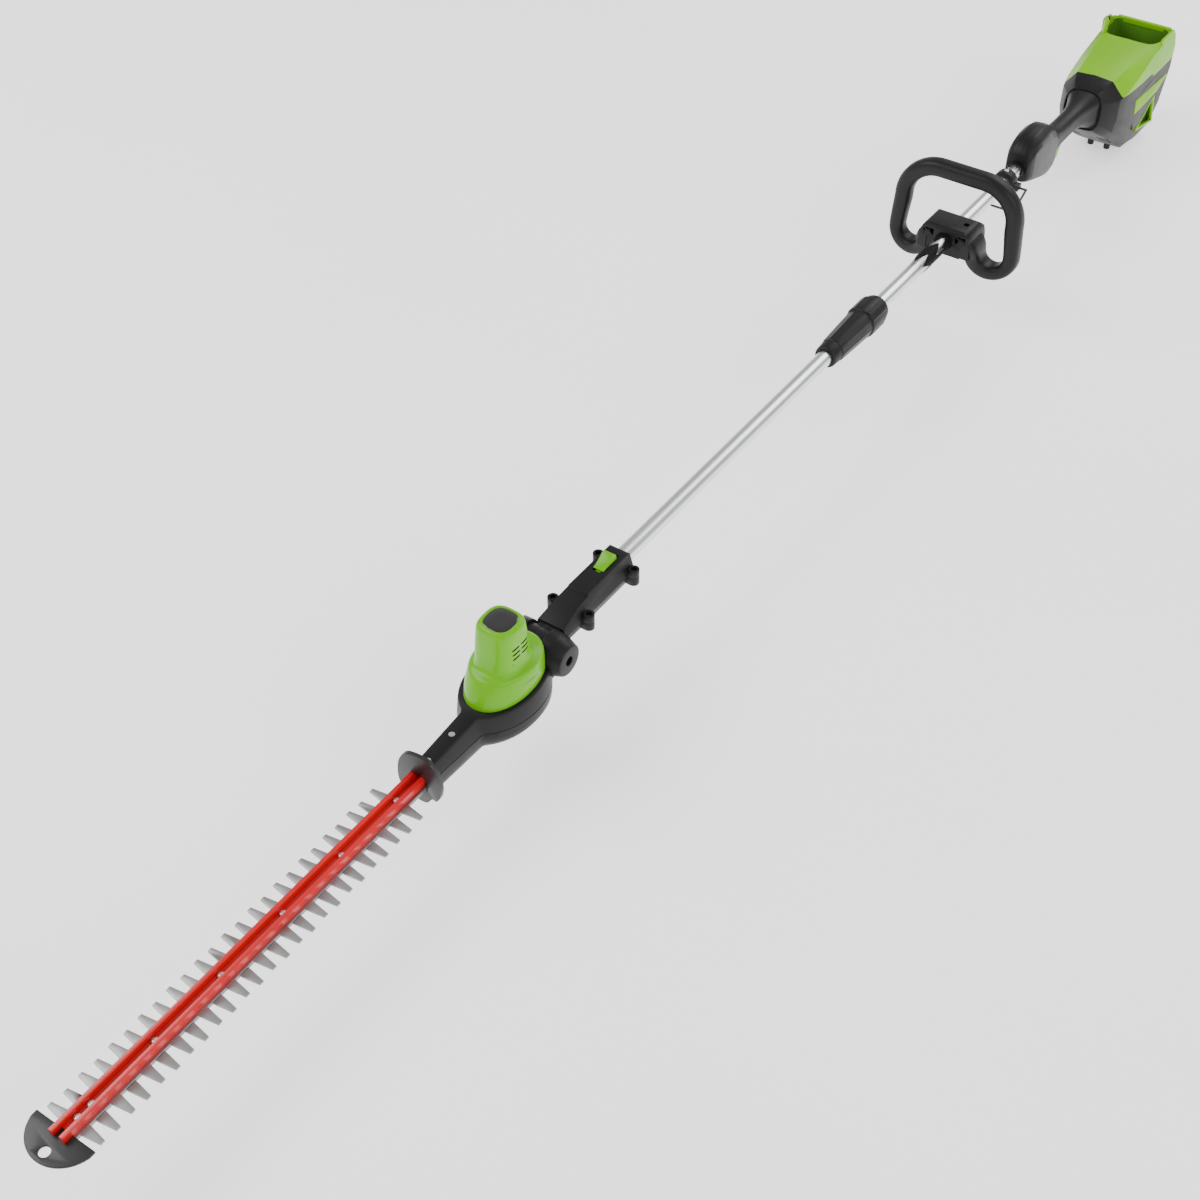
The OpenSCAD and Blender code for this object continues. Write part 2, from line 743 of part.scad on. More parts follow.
// Lower half of the clamp under the tube
module handle_clamp() {
    color("#28292b") difference() {
        x_slab([[-clamp_half, 120], [clamp_half, 120], [clamp_half, pole_z - 0.7], [-clamp_half, pole_z - 0.7]],
            -loop_back - block_depth + 1, block_front_x - 1);
        x_rod(-700, -500, tube_d + 5, 0, pole_z);
        for (s = [-1, 1]) z_rod(110, 160, 5.3, clamp_screw_x, s * 24);
    }
}

// Thin rubber sleeve between the clamp and the tube
module handle_sleeve() {
    color("#151516") difference() {
        x_rod(-loop_back - block_depth - 4, -456, tube_d + 3.6, 0, pole_z);
        x_rod(-700, -400, tube_d + 0.6, 0, pole_z);
    }
}
module handle_screws() {
    color("#4a4c4f") {
        z_rod(124, 153.5, 5, clamp_screw_x, 24);
        z_rod(153.2, 156.6, 8.6, clamp_screw_x, 24);
        z_rod(119.6, 152, 5, clamp_screw_x, -24);
        z_rod(116.4, 119.8, 8.6, clamp_screw_x, -24);
    }
}

// ---------- strap ring ----------

module strap_clamp() {
    color("#1b1c1d") difference() {
        union() {
            x_rod(strap_x - 8, strap_x + 8, 38, 0, pole_z);
            for (s = [-1, 1]) box([strap_x - 7, s > 0 ? 14 : -27, pole_z - 9], [strap_x + 7, s > 0 ? 27 : -14, pole_z + 1]);
        }
        x_rod(strap_x - 9, strap_x + 9, tube_d, 0, pole_z);
        y_rod(-40, 40, 4.2, strap_x, pole_z - 5);
        z_rod(pole_z + 10, pole_z + 30, 4.1, strap_x);
        z_rod(pole_z + 17, pole_z + 30, 7.4, strap_x);
    }
}
module strap_bolt() {
    color("#c4c8cc") {
        z_rod(pole_z + 17, pole_z + 21, 7, strap_x);
        z_rod(pole_z + 12.2, pole_z + 17.1, 4, strap_x);
    }
}

// Wire ring that hangs below the tube and swings on the ears of its clamp
ring_wire = 4;
module strap_ring() {
    z_top = pole_z - 5;
    z_low = 92;
    top_y = 39;
    low_y = 24.5;
    lean = atan2(top_y - low_y, z_top - z_low);
    color("#1b1c1d") {
        for (s = [-1, 1]) {
            y_rod(s > 0 ? 20 : -top_y, s > 0 ? top_y : -20, ring_wire, strap_x, z_top);
            translate([strap_x, s * top_y, z_top]) sphere(d = ring_wire + 0.8);
            translate([strap_x, s * top_y, z_top]) rotate([180 - s * lean, 0, 0])
                cylinder(h = norm([top_y - low_y, z_top - z_low]), d = ring_wire);
            translate([strap_x, s * low_y, z_low]) sphere(d = ring_wire + 0.8);
        }
        y_rod(-low_y, low_y, ring_wire, strap_x, z_low);
    }
}

// ---------- rear grip ----------

housing_profile = [
    [-820, 122], [-820, 168], [-832, 186], [-856, 196], [-890, 196], [-922, 182], [-948, 163], [-975, 158],
    [-1055, 158], [-1085, 166], [nose_x, 176], [nose_x, 100], [-1088, 106], [-1060, 117], [-1000, 119],
    [-958, 117], [-935, 100], [-900, 97], [-850, 108]
];
housing_plan = [
    [-820, 13], [-845, housing_half - 2], [-870, housing_half], [-925, housing_half], [-955, 18], [-1060, 18],
    [-1085, 25], [nose_x, 32]
];
function mirrored_plan(p) = concat(p, [for (i = [len(p) - 1 : -1 : 0]) [p[i][0], -p[i][1]]]);
housing_screw_at = [[-850, 118], [-850, 176], [-1098.5, 130]];
module housing_form() {
    intersection() {
        side_slab(housing_profile, -40, 40);
        translate([0, 0, 80]) linear_extrude(140) polygon(mirrored_plan(housing_plan));
    }
}
module housing_room() {
    x_rod(-907, -810, tube_d, 0, pole_z);
    y_rod(-16.2, 16.2, 3.1, -965, 129);
    for (p = housing_screw_at) {
        y_rod(-30, 6.5, 3.6, p[0], p[1]);
        y_rod(-40, -17, 6.4, p[0], p[1]);
    }
    side_slab([[-875, 104], [-875, 188], [-925, 172], [-948, 154], [-1094, 154], [-1094, 122], [-985, 123],
        [-958, 122], [-940, 106]], -13, 13);
    box([-1018, -5.5, 90], [-950, 5.5, 130]);
}
module housing_left() {
    color("#2f3032") difference() {
        housing_form();
        housing_room();
        box([-1200, -60, 60], [-700, 0.05, 260]);
    }
}
module housing_right() {
    color("#2f3032") difference() {
        housing_form();
        housing_room();
        box([-1200, -0.05, 60], [-700, 60, 260]);
        y_rod(-40, -12, 12.8, -935, 146);
    }
}
module trigger_lever_2d() {
    polygon([[-962, 131], [-968, 134], [-1000, 129], [-1012, 122], [-1012, 112], [-1004, 100], [-998, 88],
        [-992, 87], [-988, 92], [-984, 108], [-966, 124], [-960, 126]]);
}

// Trigger lever, hinged at its front end
module trigger() {
    color("#8fd12c") difference() {
        translate([0, 5, 0]) rotate([90, 0, 0]) linear_extrude(10) trigger_lever_2d();
        y_rod(-10, 10, 3.1, -965, 129);
    }
}
module trigger_pin() {
    color("#c4c8cc") y_rod(-16, 16, 3, -965, 129);
}
module trigger_spring() {
    color("#c4c8cc") for (i = [0 : 6]) translate([-1000, 0, 137.4 + i * 2.4]) difference() {
        cylinder(h = 1.2, d = 7);
        translate([0, 0, -1]) cylinder(h = 4, d = 5);
    }
}

// Switch above the trigger
module power_switch() {
    color("#3c4350") {
        box([-985, -8, 139], [-955, 8, 153]);
        box([-984, -3, 136], [-979, 3, 139.1]);
    }
}

// Lock-off button on the right side of the housing, pushed inwards by the thumb
module lock_off() {
    color("#1b1c1d") {
        y_rod(-27, -15, 12, -935, 146);
    }
}

// ---------- power head ----------

head_profile = [
    [nose_x, 100], [nose_x, 176], [-1135, 182], [-1280, 192], [-1362, 194], [tail_x, 146], [-1376, 110],
    [-1356, 67], [-1346, 18], [-1336, 8], [-1228, 12], [-1180, 46], [-1140, 74]
];
head_plan = [
    [nose_x, 32], [-1118, 46], [-1140, 57], [-1175, head_half], [-1330, head_half], [-1370, 56], [tail_x, 44]
];
module head_solid(low, high) {
    intersection() {
        side_slab(head_profile, -70, 70);
        translate([0, 0, low]) linear_extrude(high - low) polygon(mirrored_plan(head_plan));
        x_slab(head_section, -1400, -1100);
    }
}
head_section = mirrored([[44, 0], [52, 14], [head_half + 0.6, 60], [head_half + 0.6, 160], [head_half - 2, 220]]);

// Line between the black shell and the green shell, rising to the front
seam = [[-1420, 138], [-1180, 152], [-1140, 156], [-1132, 190], [-1132, 240], [-1420, 240]];
bay_low = 96;
module bay_room() {
    translate([0, 0, bay_low]) linear_extrude(200) translate([-1318, 0]) round_rect(88, 2 * head_half - 10, 14);
}
module head_shell() {
    color("#2f3032") difference() {
        head_solid(0, 240);
        side_slab(seam, -80, 80);
        bay_room();
        intersection() {
            side_slab(front_room, -70, 70);
            translate([0, 0, 50]) linear_extrude(120) polygon(mirrored_plan(room_plan));
        }
        side_slab(low_room, -head_half + 14, head_half - 14);
        for (s = [-1, 1]) for (i = [0 : 4])
            box([-1200, s * (20 + 4.5 * i) - 1, 54], [-1144, s * (20 + 4.5 * i) + 1, 68]);
        for (s = [-1, 1]) side_slab(window_2d, s > 0 ? head_half - 10 : -head_half - 5,
            s > 0 ? head_half + 5 : -head_half + 10);
        for (p = feet_at) z_rod(-1, 13, 12, p[0], p[1]);
        side_slab(panel_2d, head_half - 1.2, head_half + 5);
        side_slab(panel_2d, -head_half - 5, -head_half + 1.2);
    }
}
front_room = [
    [nose_x - 4, 106], [nose_x - 4, 150], [-1141, 151], [-1264, 142], [-1264, 62], [-1190, 62], [-1146, 82]
];
room_plan = [[nose_x - 4, 27], [-1120, 41], [-1142, 52], [-1177, head_half - 4.5], [-1264, head_half - 4.5]];
low_room = [
    [-1264, 91], [-1360, 91], [-1350, 66], [-1341, 24], [-1334, 17], [-1236, 21], [-1194, 52], [-1194, 58],
    [-1264, 58]
];
feet_at = [[-1238, 16], [-1238, -16], [-1326, 16], [-1326, -16]];
window_2d = [[-1316, 86], [-1248, 46], [-1334, 28]];
panel_2d = [
    [-1194, 126], [-1240, 33], [-1330, 14], [-1344, 22], [-1356, 67], [-1376, 112], [-1382, 132]
];

// Trim panels on both flanks with the triangular opening
module side_panels() {
    color("#55575b") for (s = [-1, 1]) difference() {
        intersection() {
            side_slab(panel_2d, s > 0 ? head_half - 1.1 : -head_half - 3, s > 0 ? head_half + 3 : -head_half + 1.1);
            linear_extrude(240) polygon(mirrored_plan(head_plan));
            x_slab(head_section, -1400, -1100);
        }
        side_slab(window_2d, s > 0 ? head_half - 5 : -head_half - 5, s > 0 ? head_half + 5 : -head_half + 5);
    }
}

// Green shell around the open battery bay, with raised side rims
rim_top = 215;
module bay_shell() {
    color("#8fd12c") difference() {
        union() {
            intersection() {
                head_solid(0, 240);
                side_slab([for (p = seam) [p[0], p[1] + 0.1]], -80, 80);
            }
            side_slab([[-1276, 190], [-1284, 214], [-1290, rim_top + 10], [-1299, rim_top + 10], [-1301, 212],
                [-1320, 212], [-1326, rim_top], [-1356, 202], [-1362, 190]], -head_half + 2, -head_half + 8);
            side_slab([[-1276, 190], [-1284, 196], [-1304, 200], [-1352, 200], [-1360, 197], [-1362, 190]],
                head_half - 8, head_half - 2);
        }
        bay_room();
        side_slab([[-1140, 140], [-1140, 178], [-1268, 188], [-1268, 140]], -head_half + 6, head_half - 6);
        box([-1319, -head_half - 5, 156], [-1301, -head_half + 9, 240]);
        x_rod(-1326.2, -1293.8, 2.6, -head_half + 2.5, 162);
    }
}

// Contact block on the floor of the bay
module terminal_block() {
    color("#1b1c1d") difference() {
        box([-1340, -24, bay_low], [-1296, 24, bay_low + 22]);
        for (i = [-2 : 2]) box([-1334, i * 8 - 1.2, bay_low + 6], [-1302, i * 8 + 1.2, bay_low + 30]);
    }
}
module control_board() {
    color("#1f5d3a") box([-1250, -40, 100], [-1160, 40, 102]);
    color("#8c8f93") {
        box([-1236, -30, 102 - eps], [-1200, -6, 116]);
        for (i = [0 : 2]) z_rod(102 - eps, 124, 12, -1222 + i * 16, 14);
    }
}

// Spring-loaded catch that holds and releases the battery, in the notch of the right rim
module battery_latch() {
    color("#1b1c1d") difference() {
        union() {
            box([-1318, -head_half + 0.6, 158], [-1302, -head_half + 4.4, 212]);
            box([-1318, -head_half + 0.6, 204], [-1302, -head_half + 7.6, 212]);
        }
        x_rod(-1330, -1290, 2.6, -head_half + 2.5, 162);
    }
}
module latch_pin() {
    color("#c4c8cc") x_rod(-1326, -1294, 2.5, -head_half + 2.5, 162);
}
module rubber_feet() {
    color("#1b1c1d") for (p = feet_at) z_rod(0, 13, 12, p[0], p[1]);
}
module housing_screws() {
    color("#4a4c4f") for (p = housing_screw_at) {
        y_rod(-17.2, 6, 3.4, p[0], p[1]);
        y_rod(-19.5, -17.1, 6, p[0], p[1]);
    }
}

tip_guard();
cutter_bar();
bar_bolts();
blade_bushes();
blade_washers();
upper_blade();
lower_blade();
hand_guard();
gearcase_upper();
gearcase_lower();
case_screws();
crank_gear();
crank_bearings();
motor_plate();
motor_can();
motor_rotor();
pinion();
motor_bearings();
motor_cover();
cover_badge();
pivot_bolt();
pivot_nut();
lock_wheel();
tongue_left();
tongue_right();
yoke_upper();
yoke_lower();
yoke_screws();
pivot_latch();
latch_spring();
front_tube();
rear_tube();
coupler_spigot();
threaded_ferrule();
thrust_ring();
screw_collar();
drive_lead();
loop_handle();
handle_clamp();
handle_sleeve();
handle_screws();
strap_clamp();
strap_bolt();
strap_ring();
housing_left();
housing_right();
trigger();
trigger_pin();
trigger_spring();
power_switch();
lock_off();
head_shell();
side_panels();
bay_shell();
terminal_block();
control_board();
battery_latch();
latch_pin();
rubber_feet();
housing_screws();
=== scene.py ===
"""Looks of the pole hedge trimmer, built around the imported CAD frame. Metres, +X to the blade tip, +Z up."""
import json
import math

import bpy
import bmesh
from mathutils import Matrix, Vector


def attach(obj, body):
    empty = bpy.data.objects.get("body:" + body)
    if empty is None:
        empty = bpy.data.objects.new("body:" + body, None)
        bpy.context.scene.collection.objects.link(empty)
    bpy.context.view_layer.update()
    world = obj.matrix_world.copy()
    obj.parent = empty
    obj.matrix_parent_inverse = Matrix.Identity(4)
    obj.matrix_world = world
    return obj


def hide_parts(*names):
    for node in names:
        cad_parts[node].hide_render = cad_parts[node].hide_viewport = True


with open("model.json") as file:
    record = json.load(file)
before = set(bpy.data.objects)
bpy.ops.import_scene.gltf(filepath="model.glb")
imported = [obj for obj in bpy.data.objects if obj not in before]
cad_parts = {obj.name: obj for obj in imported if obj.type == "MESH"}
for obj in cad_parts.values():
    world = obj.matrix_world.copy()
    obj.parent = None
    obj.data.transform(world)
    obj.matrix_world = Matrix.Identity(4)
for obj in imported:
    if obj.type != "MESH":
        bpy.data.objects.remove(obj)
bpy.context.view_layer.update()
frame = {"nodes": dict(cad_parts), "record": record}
NODES = frame["nodes"]
MM = 0.001


# ---------------------------------------------------------------- materials
def new_material(name):
    mat = bpy.data.materials.new(name)
    mat.use_nodes = True
    nodes = mat.node_tree.nodes
    nodes.clear()
    out = nodes.new("ShaderNodeOutputMaterial")
    bsdf = nodes.new("ShaderNodeBsdfPrincipled")
    mat.node_tree.links.new(bsdf.outputs["BSDF"], out.inputs["Surface"])
    return mat, nodes, mat.node_tree.links, bsdf


def object_coords(nodes, links, scale=(1, 1, 1)):
    coord = nodes.new("ShaderNodeTexCoord")
    mapping = nodes.new("ShaderNodeMapping")
    mapping.inputs["Scale"].default_value = scale
    links.new(coord.outputs["Object"], mapping.inputs["Vector"])
    return mapping.outputs["Vector"]


def noise(nodes, links, vector, scale, detail=4.0, rough=0.5):
    tex = nodes.new("ShaderNodeTexNoise")
    tex.inputs["Scale"].default_value = scale
    tex.inputs["Detail"].default_value = detail
    tex.inputs["Roughness"].default_value = rough
    links.new(vector, tex.inputs["Vector"])
    return tex.outputs["Fac"]


def ramp(nodes, links, fac, low, high, stops=(0.3, 0.7)):
    node = nodes.new("ShaderNodeValToRGB")
    node.color_ramp.elements[0].position = stops[0]
    node.color_ramp.elements[1].position = stops[1]
    node.color_ramp.elements[0].color = (*low, 1)
    node.color_ramp.elements[1].color = (*high, 1)
    links.new(fac, node.inputs["Fac"])
    return node.outputs["Color"]


def remap(nodes, links, fac, low, high):
    node = nodes.new("ShaderNodeMapRange")
    node.inputs["To Min"].default_value = low
    node.inputs["To Max"].default_value = high
    links.new(fac, node.inputs["Value"])
    return node.outputs["Result"]


def bump(nodes, links, bsdf, height, strength, distance, chained=None):
    node = nodes.new("ShaderNodeBump")
    node.inputs["Strength"].default_value = strength
    node.inputs["Distance"].default_value = distance
    links.new(height, node.inputs["Height"])
    if chained is not None:
        links.new(chained, node.inputs["Normal"])
    links.new(node.outputs["Normal"], bsdf.inputs["Normal"])
    return node.outputs["Normal"]


def plastic(name, color, rough, grain=0.15, vary=0.12, coat=0.0, specular=0.5):
    """Moulded plastic: fine spark-eroded grain, faint colour drift and slightly uneven gloss."""
    mat, nodes, links, bsdf = new_material(name)
    vec = object_coords(nodes, links)
    drift = noise(nodes, links, vec, 9.0, 3.0)
    low = tuple(c * (1 - vary) for c in color)
    high = tuple(min(1.0, c * (1 + vary)) for c in color)
    links.new(ramp(nodes, links, drift, low, high), bsdf.inputs["Base Color"])
    smudge = noise(nodes, links, vec, 60.0, 5.0)
    links.new(remap(nodes, links, smudge, rough - 0.06, rough + 0.08), bsdf.inputs["Roughness"])
    fine = noise(nodes, links, vec, 2600.0, 2.0)
    bump(nodes, links, bsdf, fine, grain, 0.00012)
    bsdf.inputs["Specular IOR Level"].default_value = specular
    if coat:
        bsdf.inputs["Coat Weight"].default_value = coat
        bsdf.inputs["Coat Roughness"].default_value = 0.06
    return mat


def metal(name, color, rough, brush_axis=None, brush=0.25, vary=0.08):
    """Bare or plated metal, with brushing along one axis where it is drawn or ground."""
    mat, nodes, links, bsdf = new_material(name)
    scale = [1.0, 1.0, 1.0]
    if brush_axis is not None:
        scale = [140.0, 140.0, 140.0]
        scale[brush_axis] = 2.0
    vec = object_coords(nodes, links, scale)
    plain = object_coords(nodes, links)
    lines = noise(nodes, links, vec, 12.0 if brush_axis is not None else 900.0, 3.0)
    drift = noise(nodes, links, plain, 14.0, 3.0)
    low = tuple(c * (1 - vary) for c in color)
    high = tuple(min(1.0, c * (1 + vary)) for c in color)
    links.new(ramp(nodes, links, drift, low, high), bsdf.inputs["Base Color"])
    links.new(remap(nodes, links, lines, rough - 0.07, rough + 0.09), bsdf.inputs["Roughness"])
    bump(nodes, links, bsdf, lines, brush, 0.00006)
    bsdf.inputs["Metallic"].default_value = 1.0
    return mat


def painted(name, color, rough):
    """Powder-coated or enamelled metal with a light orange peel."""
    mat, nodes, links, bsdf = new_material(name)
    vec = object_coords(nodes, links)
    drift = noise(nodes, links, vec, 12.0, 3.0)
    low = tuple(c * 0.9 for c in color)
    high = tuple(min(1.0, c * 1.08) for c in color)
    links.new(ramp(nodes, links, drift, low, high), bsdf.inputs["Base Color"])
    peel = noise(nodes, links, vec, 700.0, 2.0)
    links.new(remap(nodes, links, peel, rough - 0.05, rough + 0.06), bsdf.inputs["Roughness"])
    bump(nodes, links, bsdf, peel, 0.12, 0.0001)
    bsdf.inputs["Coat Weight"].default_value = 0.10
    bsdf.inputs["Coat Roughness"].default_value = 0.12
    return mat


MATS = {
    "case_black": plastic("moulded_black", (0.0075, 0.0075, 0.0078), 0.42, 0.35, specular=0.22),
    "soft_black": plastic("soft_black", (0.004, 0.004, 0.0045), 0.62, 0.6, specular=0.2),
    "cover_green": plastic("gloss_green", (0.135, 0.440, 0.0), 0.22, 0.05, 0.06, 0.0, 0.22),
    "shell_green": plastic("satin_green", (0.190, 0.480, 0.0), 0.30, 0.12, 0.06, 0.0, 0.12),
    # Painted shade: a darker green standing in for the shade on the walls of the battery bay, the side windows and the
    # side notch.
    "painted_shade_green": plastic("painted_shade_green", (0.075, 0.200, 0.018), 0.50, 0.2, specular=0.2),
    "badge": plastic("badge_black", (0.010, 0.008, 0.009), 0.16, 0.02, 0.05, 0.8),
    # Lighter grey, also laid on the trigger housing's flat sides as painted light.
    "panel_grey": plastic("panel_grey", (0.030, 0.030, 0.033), 0.44, 0.3, specular=0.4),
    "guard_steel": painted("guard_black", (0.007, 0.007, 0.0075), 0.42),
    "bar_red": painted("bar_red", (0.640, 0.002, 0.006), 0.30),
    "zinc": metal("zinc", (0.72, 0.74, 0.77), 0.26),
    "blade_steel": metal("blade_steel", (0.36, 0.36, 0.36), 0.46, 1, 0.35),
    "steel": metal("steel", (0.50, 0.51, 0.53), 0.34),
    "dark_metal": metal("dark_metal", (0.10, 0.10, 0.11), 0.40),
    "cast": metal("cast_metal", (0.55, 0.55, 0.57), 0.50),
    "copper": metal("copper", (0.62, 0.28, 0.12), 0.35),
    "brass": metal("brass", (0.70, 0.48, 0.18), 0.33),
    "tube": metal("drawn_tube", (0.80, 0.81, 0.83), 0.27, 0, 0.18, 0.03),
    "lead": plastic("lead_rubber", (0.010, 0.010, 0.011), 0.55, 0.3),
    "grip_rubber": plastic("rubber", (0.009, 0.009, 0.010), 0.70, 0.8),
    "pcb": plastic("board_green", (0.020, 0.140, 0.060), 0.35, 0.1),
    "label_green": plastic("label_green", (0.20, 0.44, 0.005), 0.40, 0.1, specular=0.1),
    "switch": plastic("switch_plastic", (0.030, 0.036, 0.050), 0.45, 0.3),
}
SLOT_OF = {s["node"]: s["material_slot"] for s in frame["record"]["subparts"]}
for node_name, obj in NODES.items():
    obj.data.materials.clear()
    obj.data.materials.append(MATS[SLOT_OF[node_name]])

# ---------------------------------------------------------------- mesh helpers
def make_object(name, verts, faces, material, sharp=32.0):
    """Object from points in millimetres."""
    mesh = bpy.data.meshes.new(name)
    mesh.from_pydata([Vector(v) * MM for v in verts], [], faces)
    bm = bmesh.new()
    bm.from_mesh(mesh)
    bmesh.ops.remove_doubles(bm, verts=bm.verts, dist=0.00001)
    bmesh.ops.recalc_face_normals(bm, faces=bm.faces)
    bm.to_mesh(mesh)
    bm.free()
    obj = bpy.data.objects.new(name, mesh)
    bpy.context.scene.collection.objects.link(obj)
    mesh.materials.append(MATS[material])
    shade(obj, sharp)
    return obj


def shade(obj, sharp):
    for poly in obj.data.polygons:
        poly.use_smooth = True
    obj.data.set_sharp_from_angle(angle=math.radians(sharp))


def loft(name, rings, material, sharp=32.0, wrap=False):
    """Skin over closed rings of equal length; ends capped unless the rings wrap round."""
    count = len(rings[0])
    verts = [p for ring in rings for p in ring]
    faces = []
    last = len(rings) if wrap else len(rings) - 1
    for i in range(last):
        a, b = i * count, ((i + 1) % len(rings)) * count
        for j in range(count):
            k = (j + 1) % count
            faces.append((a + j, a + k, b + k, b + j))
    if not wrap:
        faces.append(tuple(range(count)))
        faces.append(tuple(range((len(rings) - 1) * count, len(rings) * count)))
    return make_object(name, verts, faces, material, sharp)


def prism(name, outline, axis, low, high, material, sharp=32.0):
    """Outline extruded along an axis: 'x' takes (y, z), 'y' takes (x, z), 'z' takes (x, y)."""
    place = {"x": lambda p, t: (t, p[0], p[1]), "y": lambda p, t: (p[0], t, p[1]), "z": lambda p,
             t: (p[0], p[1], t)}[axis]
    return loft(name, [[place(p, t) for p in outline] for t in (low, high)], material, sharp)


def block(name, low, high, material="case_black"):
    return prism(name, [(low[0], low[1]), (high[0], low[1]), (high[0], high[1]), (low[0], high[1])], "z",
                 low[2], high[2],
                 material)


def rounded(points, rounds=2, keep=0.25):
    """Closed outline with its corners cut back again and again."""
    for _ in range(rounds):
        out = []
        for i, p in enumerate(points):
            q = points[(i + 1) % len(points)]
            out.append((p[0] + (q[0] - p[0]) * keep, p[1] + (q[1] - p[1]) * keep))
            out.append((q[0] + (p[0] - q[0]) * keep, q[1] + (p[1] - q[1]) * keep))
        points = out
    return points


def lathe(name, profile, axis, centre, material, steps=64, sharp=32.0, swell=None):
    """Closed profile of (along, radius) turned about a line along the axis through centre."""
    rings = []
    for i in range(steps):
        angle = 2 * math.pi * i / steps
        ring = []
        for along, radius in profile:
            r = radius + (swell(along, angle) if swell else 0.0)
            u, v = r * math.cos(angle), r * math.sin(angle)
            if axis == "x":
                ring.append((along, centre[0] + u, centre[1] + v))
            elif axis == "y":
                ring.append((centre[0] + u, along, centre[1] + v))
            else:
                ring.append((centre[0] + u, centre[1] + v, along))
        rings.append(ring)
    return loft(name, rings, material, sharp, wrap=True)


def rod(name, axis, low, high, radius, centre, material="case_black", steps=48):
    """Closed round bar along an axis."""
    rings = []
    for t in (low, high):
        ring = []
        for i in range(steps):
            angle = 2 * math.pi * i / steps
            u, v = radius * math.cos(angle), radius * math.sin(angle)
            ring.append({"x": (t, centre[0] + u, centre[1] + v), "y": (centre[0] + u, t, centre[1] + v),
                         "z": (centre[0] + u, centre[1] + v, t)}[axis])
        rings.append(ring)
    return loft(name, rings, material)


def bake(obj):
    """Turns the modifiers into plain mesh."""
    graph = bpy.context.evaluated_depsgraph_get()
    mesh = bpy.data.meshes.new_from_object(obj.evaluated_get(graph))
    obj.modifiers.clear()
    obj.data = mesh
    return obj


def cut(obj, tools, operation="DIFFERENCE", sharp=32.0):
    for tool in tools:
        mod = obj.modifiers.new("cut", "BOOLEAN")
        mod.operation = operation
        mod.solver = "EXACT"
        mod.material_mode = "TRANSFER"
        mod.object = tool
        bake(obj)
        bpy.data.objects.remove(tool)
    shade(obj, sharp)
    return obj


def soften(obj, width, segments=2, angle=30.0, sharp=32.0):
    mod = obj.modifiers.new("soften", "BEVEL")
    mod.width = width * MM
    mod.segments = segments
    mod.limit_method = "ANGLE"
    mod.angle_limit = math.radians(angle)
    mod.harden_normals = False
    bake(obj)
    shade(obj, sharp)
    return obj


def soft_copy(node, width, segments=2, angle=30.0, material=None, flat=1.0):
    """The CAD node's own shape with rounded edges, in place of the sharp one."""
    obj = bpy.data.objects.new(node + "_soft", NODES[node].data.copy())
    bpy.context.scene.collection.objects.link(obj)
    bm = bmesh.new()
    bm.from_mesh(obj.data)
    bmesh.ops.remove_doubles(bm, verts=bm.verts, dist=0.000004)
    bmesh.ops.dissolve_limit(bm, angle_limit=math.radians(flat), verts=bm.verts, edges=bm.edges)
    bmesh.ops.recalc_face_normals(bm, faces=bm.faces)
    bm.to_mesh(obj.data)
    bm.free()
    obj.data.materials.clear()
    obj.data.materials.append(MATS[material or SLOT_OF[node]])
    soften(obj, width, segments, angle)
    return place(obj, NODE_BODY[node], [node], material or SLOT_OF[node])


def place(obj, body, nodes=(), slot=None):
    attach(obj, body)
    if nodes:
        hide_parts(*nodes)
    return obj


NODE_BODY = {n: body for body, members in frame["record"]["behaviour"]["bodies"].items() for n in members}


def super_ring(a, b, n, cx, level, steps=96):
    """Ring in plan; level is a height or a function of x."""
    ring = []
    for i in range(steps):
        t = 2 * math.pi * i / steps
        c, s = math.cos(t), math.sin(t)
        x = cx + a * math.copysign(abs(c) ** (2.0 / n), c)
        y = b * math.copysign(abs(s) ** (2.0 / n), s)
        ring.append((x, y, level(x) if callable(level) else level))
    return ring


def thread_tube(name, path, radius, material, closed=False, steps=10):
    """Round bead along a path of points."""
    rings = []
    for i, p in enumerate(path):
        q0 = Vector(path[i - 1] if (closed or i > 0) else path[i])
        q1 = Vector(path[(i + 1) % len(path)] if (closed or i < len(path) - 1) else path[i])
        along = (q1 - q0).normalized()
        side = along.cross(Vector((0, 0, 1)) if abs(along.z) < 0.9 else Vector((1, 0, 0))).normalized()
        up = side.cross(along)
        rings.append([tuple(Vector(p) + radius * (math.cos(2 * math.pi * j / steps) * side
                                                  + math.sin(2 * math.pi * j / steps) * up)) for j in range(steps)])
    return loft(name, rings, material, 60.0, wrap=closed)


# ---------------------------------------------------------------- motor cover
PIVOT = (565.0, 137.0)
CASE_OVAL_X = 631.0
MOTOR_X = 632.5
CASE_FRONT_X = 795.0
NECK_SCREW_X = (781.0, 735.0)
VENT_ROWS_Z = (205.0, 198.0, 191.0)
TUBE_Z = 144.0
CLAMP_BORE_R = 14.5
CLAMP_HALF = 30.3
BAR_BOLT_X = (1334.0, 1316.0, 1228.0, 1131.0, 1034.0, 937.0, 840.0)
GRIP_START_X = -945


def roof(x):
    """Upper face of the gearcase."""
    if x > 689.0:
        return 124.0 + (CASE_FRONT_X - x) * 8.0 / 106.0
    return 132.0 + (689.0 - x) * 9.0 / 149.0


